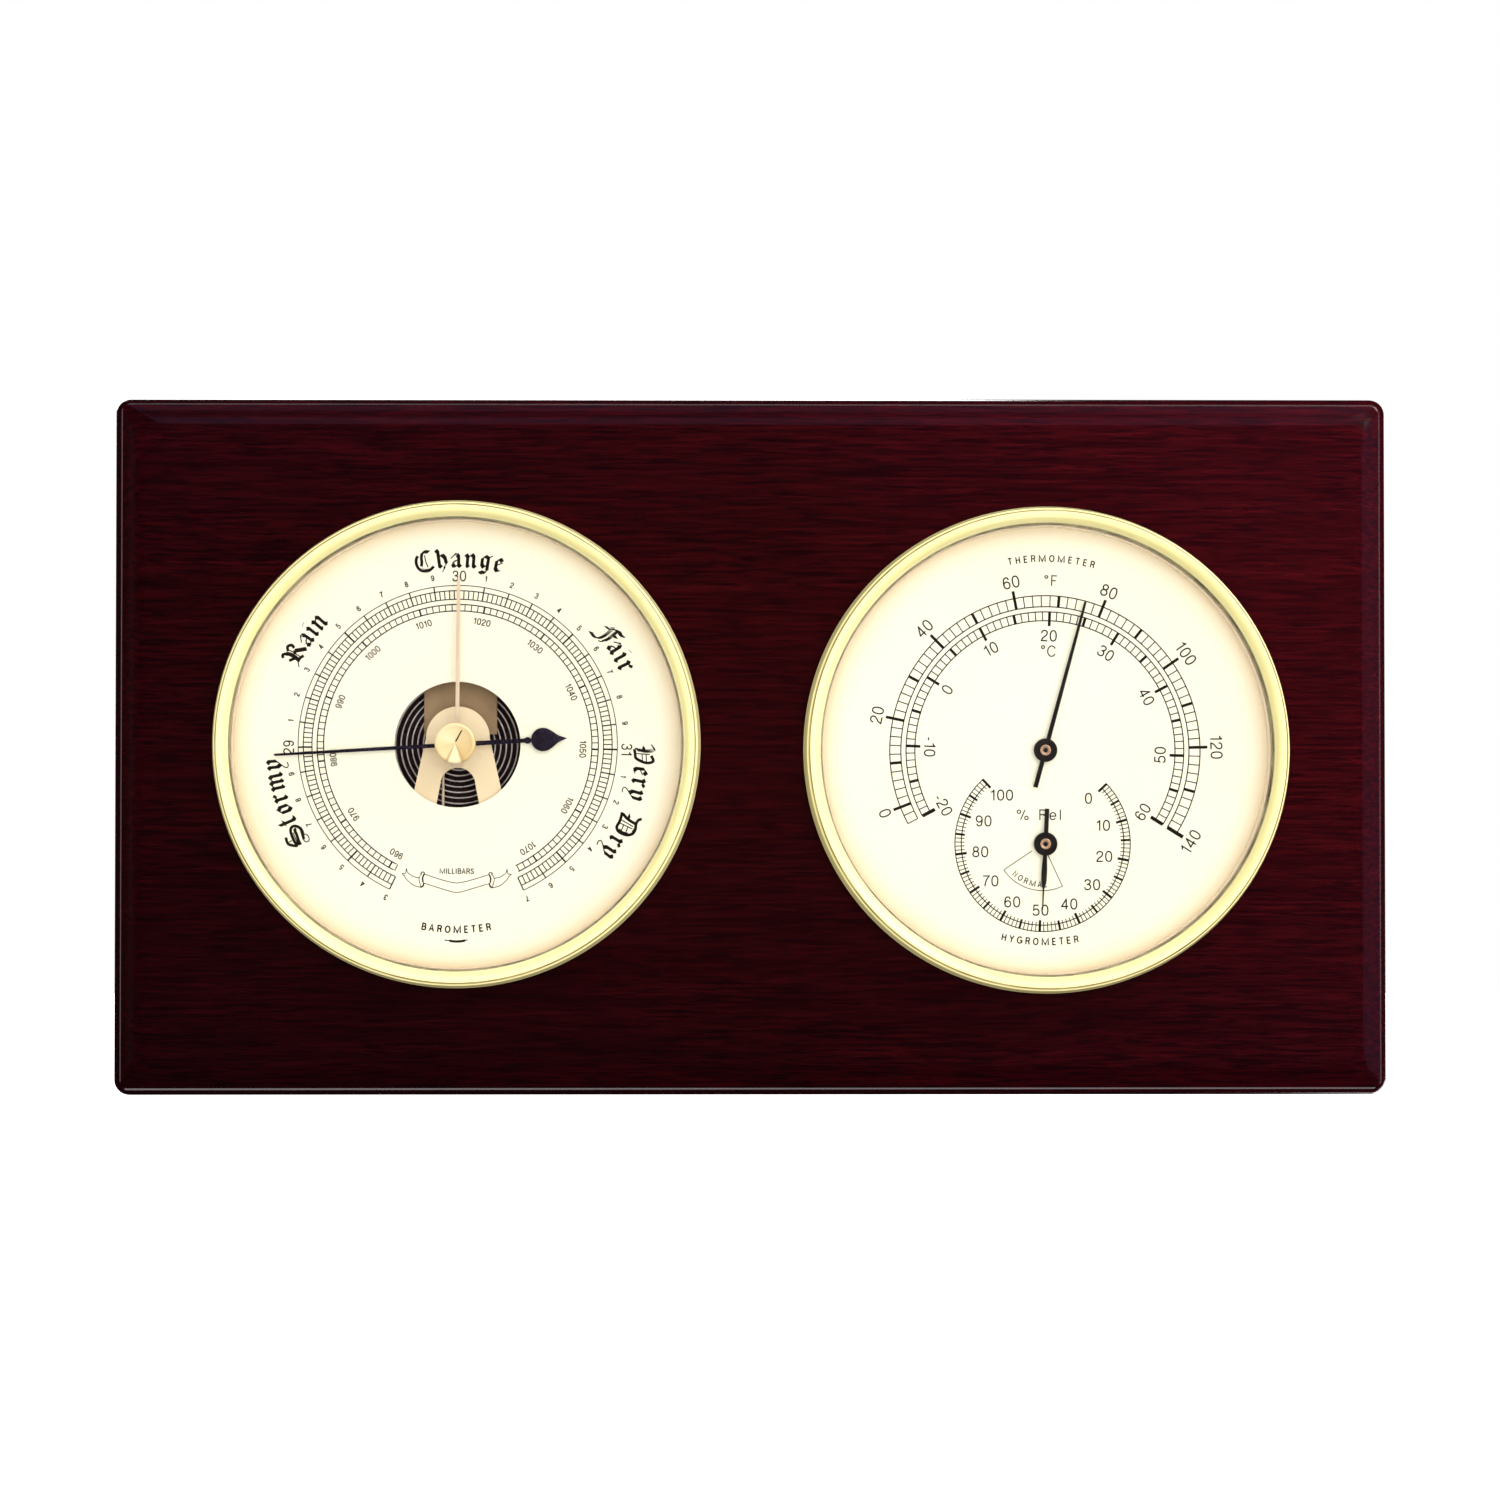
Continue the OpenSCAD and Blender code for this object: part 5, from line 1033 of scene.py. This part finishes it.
SOFT_EDGE = {"movement_bridge": 0.14, "main_spring": 0.08, "hanger_plate_left": 0.15, "hanger_plate_right": 0.15, "lower_plate": 0.06,
             "lever_bracket": 0.06, "rocker_bracket": 0.1, "spring_block": 0.12, "thermo_bracket": 0.1, "hygro_bracket": 0.1, "base_plate": 0.12}
for n, key in KEEP.items():
    o = nodes[n]
    o.data.materials.clear()
    o.data.materials.append(M[key])
    if n in SOFT_EDGE:
        weld = o.modifiers.new("weld", "WELD")
        weld.merge_threshold = 1e-7
        bev = o.modifiers.new("edge", "BEVEL")
        bev.width, bev.segments, bev.limit_method, bev.angle_limit = SOFT_EDGE[n] * MM, 2, "ANGLE", math.radians(40)
        bev.use_clamp_overlap = True
        bev.harden_normals = False

# ------------------------------------------------------- camera and light
cam_data = bpy.data.cameras.new("camera")
cam = bpy.data.objects.new("camera", cam_data)
scene.collection.objects.link(cam)
scene.camera = cam
DIST = 1.0
cam_data.sensor_width = 36.0
cam_data.lens = 109.103
cam_data.clip_start, cam_data.clip_end = 0.05, 120.0
cam.location = (-0.01652, -(BOARD_T * MM + DIST), -0.02451)
# turned a little to the right, and up by a little over a degree; no shift
cam.rotation_euler = (math.radians(90.0 + 1.349), math.radians(-0.012), -math.radians(0.923))


def area(name, loc, target, size, power, colour=(1, 1, 1), size_y=None):
    d = bpy.data.lights.new(name, "AREA")
    d.energy, d.color, d.size = power, colour, size
    if size_y:
        d.shape, d.size_y = "RECTANGLE", size_y
    o = bpy.data.objects.new(name, d)
    scene.collection.objects.link(o)
    o.location = loc
    o.rotation_euler = (Vector(target) - Vector(loc)).to_track_quat("-Z", "Y").to_euler()
    return o


def aimed(name, theta, phi, dist, size, radiance, colour=(1, 1, 1), size_y=None):
    """A soft lamp theta degrees off the line to the viewer, phi degrees clockwise from the top."""
    t, p = math.radians(theta), math.radians(phi)
    loc = (dist * math.sin(t) * math.sin(p), -BOARD_T * MM - dist * math.cos(t), dist * math.sin(t) * math.cos(p))
    return area(name, loc, (0, -BOARD_T * MM, 0), size, radiance * math.pi * size * (size_y or size), colour, size_y)


key = aimed("key", 66, 46, 1.7, 1.0, 5.8, (1.0, 0.97, 0.93))
aimed("sky", 42, 8, 1.7, 1.3, 0.26, (1.0, 0.50, 0.92), 0.7)
aimed("side", 52, 92, 1.6, 0.6, 0.20, (0.9, 0.50, 1.0), 1.4)
edge_top = aimed("edge_top", 80, 2, 1.6, 1.6, 1.6, (1.0, 0.90, 1.0), 0.25)
edge_right = aimed("edge_right", 80, 92, 1.6, 0.25, 2.0, (1.0, 0.92, 1.0), 1.6)
edge_top.visible_glossy = edge_right.visible_glossy = False
# thin reflections along the board's rounded edges
for lamp in (aimed("line_top", 80, 2, 1.6, 1.6, 3.4, (1.0, 0.93, 0.97), 0.5), aimed("line_right", 80, 92, 1.6, 0.5, 3.4, (1.0, 0.93, 0.97), 1.6),
             aimed("line_low", 86, 181, 1.5, 1.6, 3.4, (1.0, 0.93, 0.97), 0.5)):
    lamp.visible_diffuse = False
aimed("left", 74, -84, 1.5, 0.5, 2.0, (1.0, 0.97, 0.95), 1.0)
low = aimed("low", 72, 184, 1.5, 1.2, 3.2, (1.0, 0.90, 0.95), 0.4)
low.visible_glossy = False
front = aimed("front", 10, 60, 1.6, 1.5, 3.4, (1.0, 0.985, 0.955))
front.visible_glossy = False
area("back", (-0.4, 1.7, 0.9), (0, 0, 0), 1.2, 30)
area("back_low", (0.9, 1.3, -0.7), (0, 0, 0), 1.0, 10)

bm = bmesh.new()
s, z = 40.0, -1.25
bm.faces.new([bm.verts.new(p) for p in ((-s, -s, z), (s, -s, z), (s, s, z), (-s, s, z))])
t = Tree("pale_floor")
t.set(Base_Color=t.mix(t.spread(t.noise(2.0), 0, 1), (0.90, 0.90, 0.90), (0.93, 0.93, 0.93)), Roughness=0.9)
t.b.inputs["Specular IOR Level"].default_value = 0.0
t.b.inputs["Emission Color"].default_value = (1, 1, 1, 1)
t.b.inputs["Emission Strength"].default_value = 1.0
floor = piece("floor", bm, t.mat, smooth=False)
floor.visible_glossy = False
floor.visible_diffuse = False

# white behind everything, an even soft room for matt surfaces, and a dark one in gloss
world = bpy.data.worlds.new("studio")
scene.world = world
world.use_nodes = True
wt = world.node_tree
bg = wt.nodes["Background"]
bg.inputs["Color"].default_value = (0.012, 0.010, 0.012, 1)
soft = wt.nodes.new("ShaderNodeBackground")
soft.inputs["Color"].default_value = (0.80, 0.775, 0.75, 1)
white = wt.nodes.new("ShaderNodeBackground")
white.inputs["Color"].default_value = (1, 1, 1, 1)
path = wt.nodes.new("ShaderNodeLightPath")
first, second = wt.nodes.new("ShaderNodeMixShader"), wt.nodes.new("ShaderNodeMixShader")
wt.links.new(path.outputs["Is Diffuse Ray"], first.inputs["Fac"])
wt.links.new(bg.outputs[0], first.inputs[1])
wt.links.new(soft.outputs[0], first.inputs[2])
wt.links.new(path.outputs["Is Camera Ray"], second.inputs["Fac"])
wt.links.new(first.outputs[0], second.inputs[1])
wt.links.new(white.outputs[0], second.inputs[2])
wt.links.new(second.outputs[0], wt.nodes["World Output"].inputs["Surface"])
scene.view_settings.view_transform = "Standard"
scene.view_settings.look = "None"
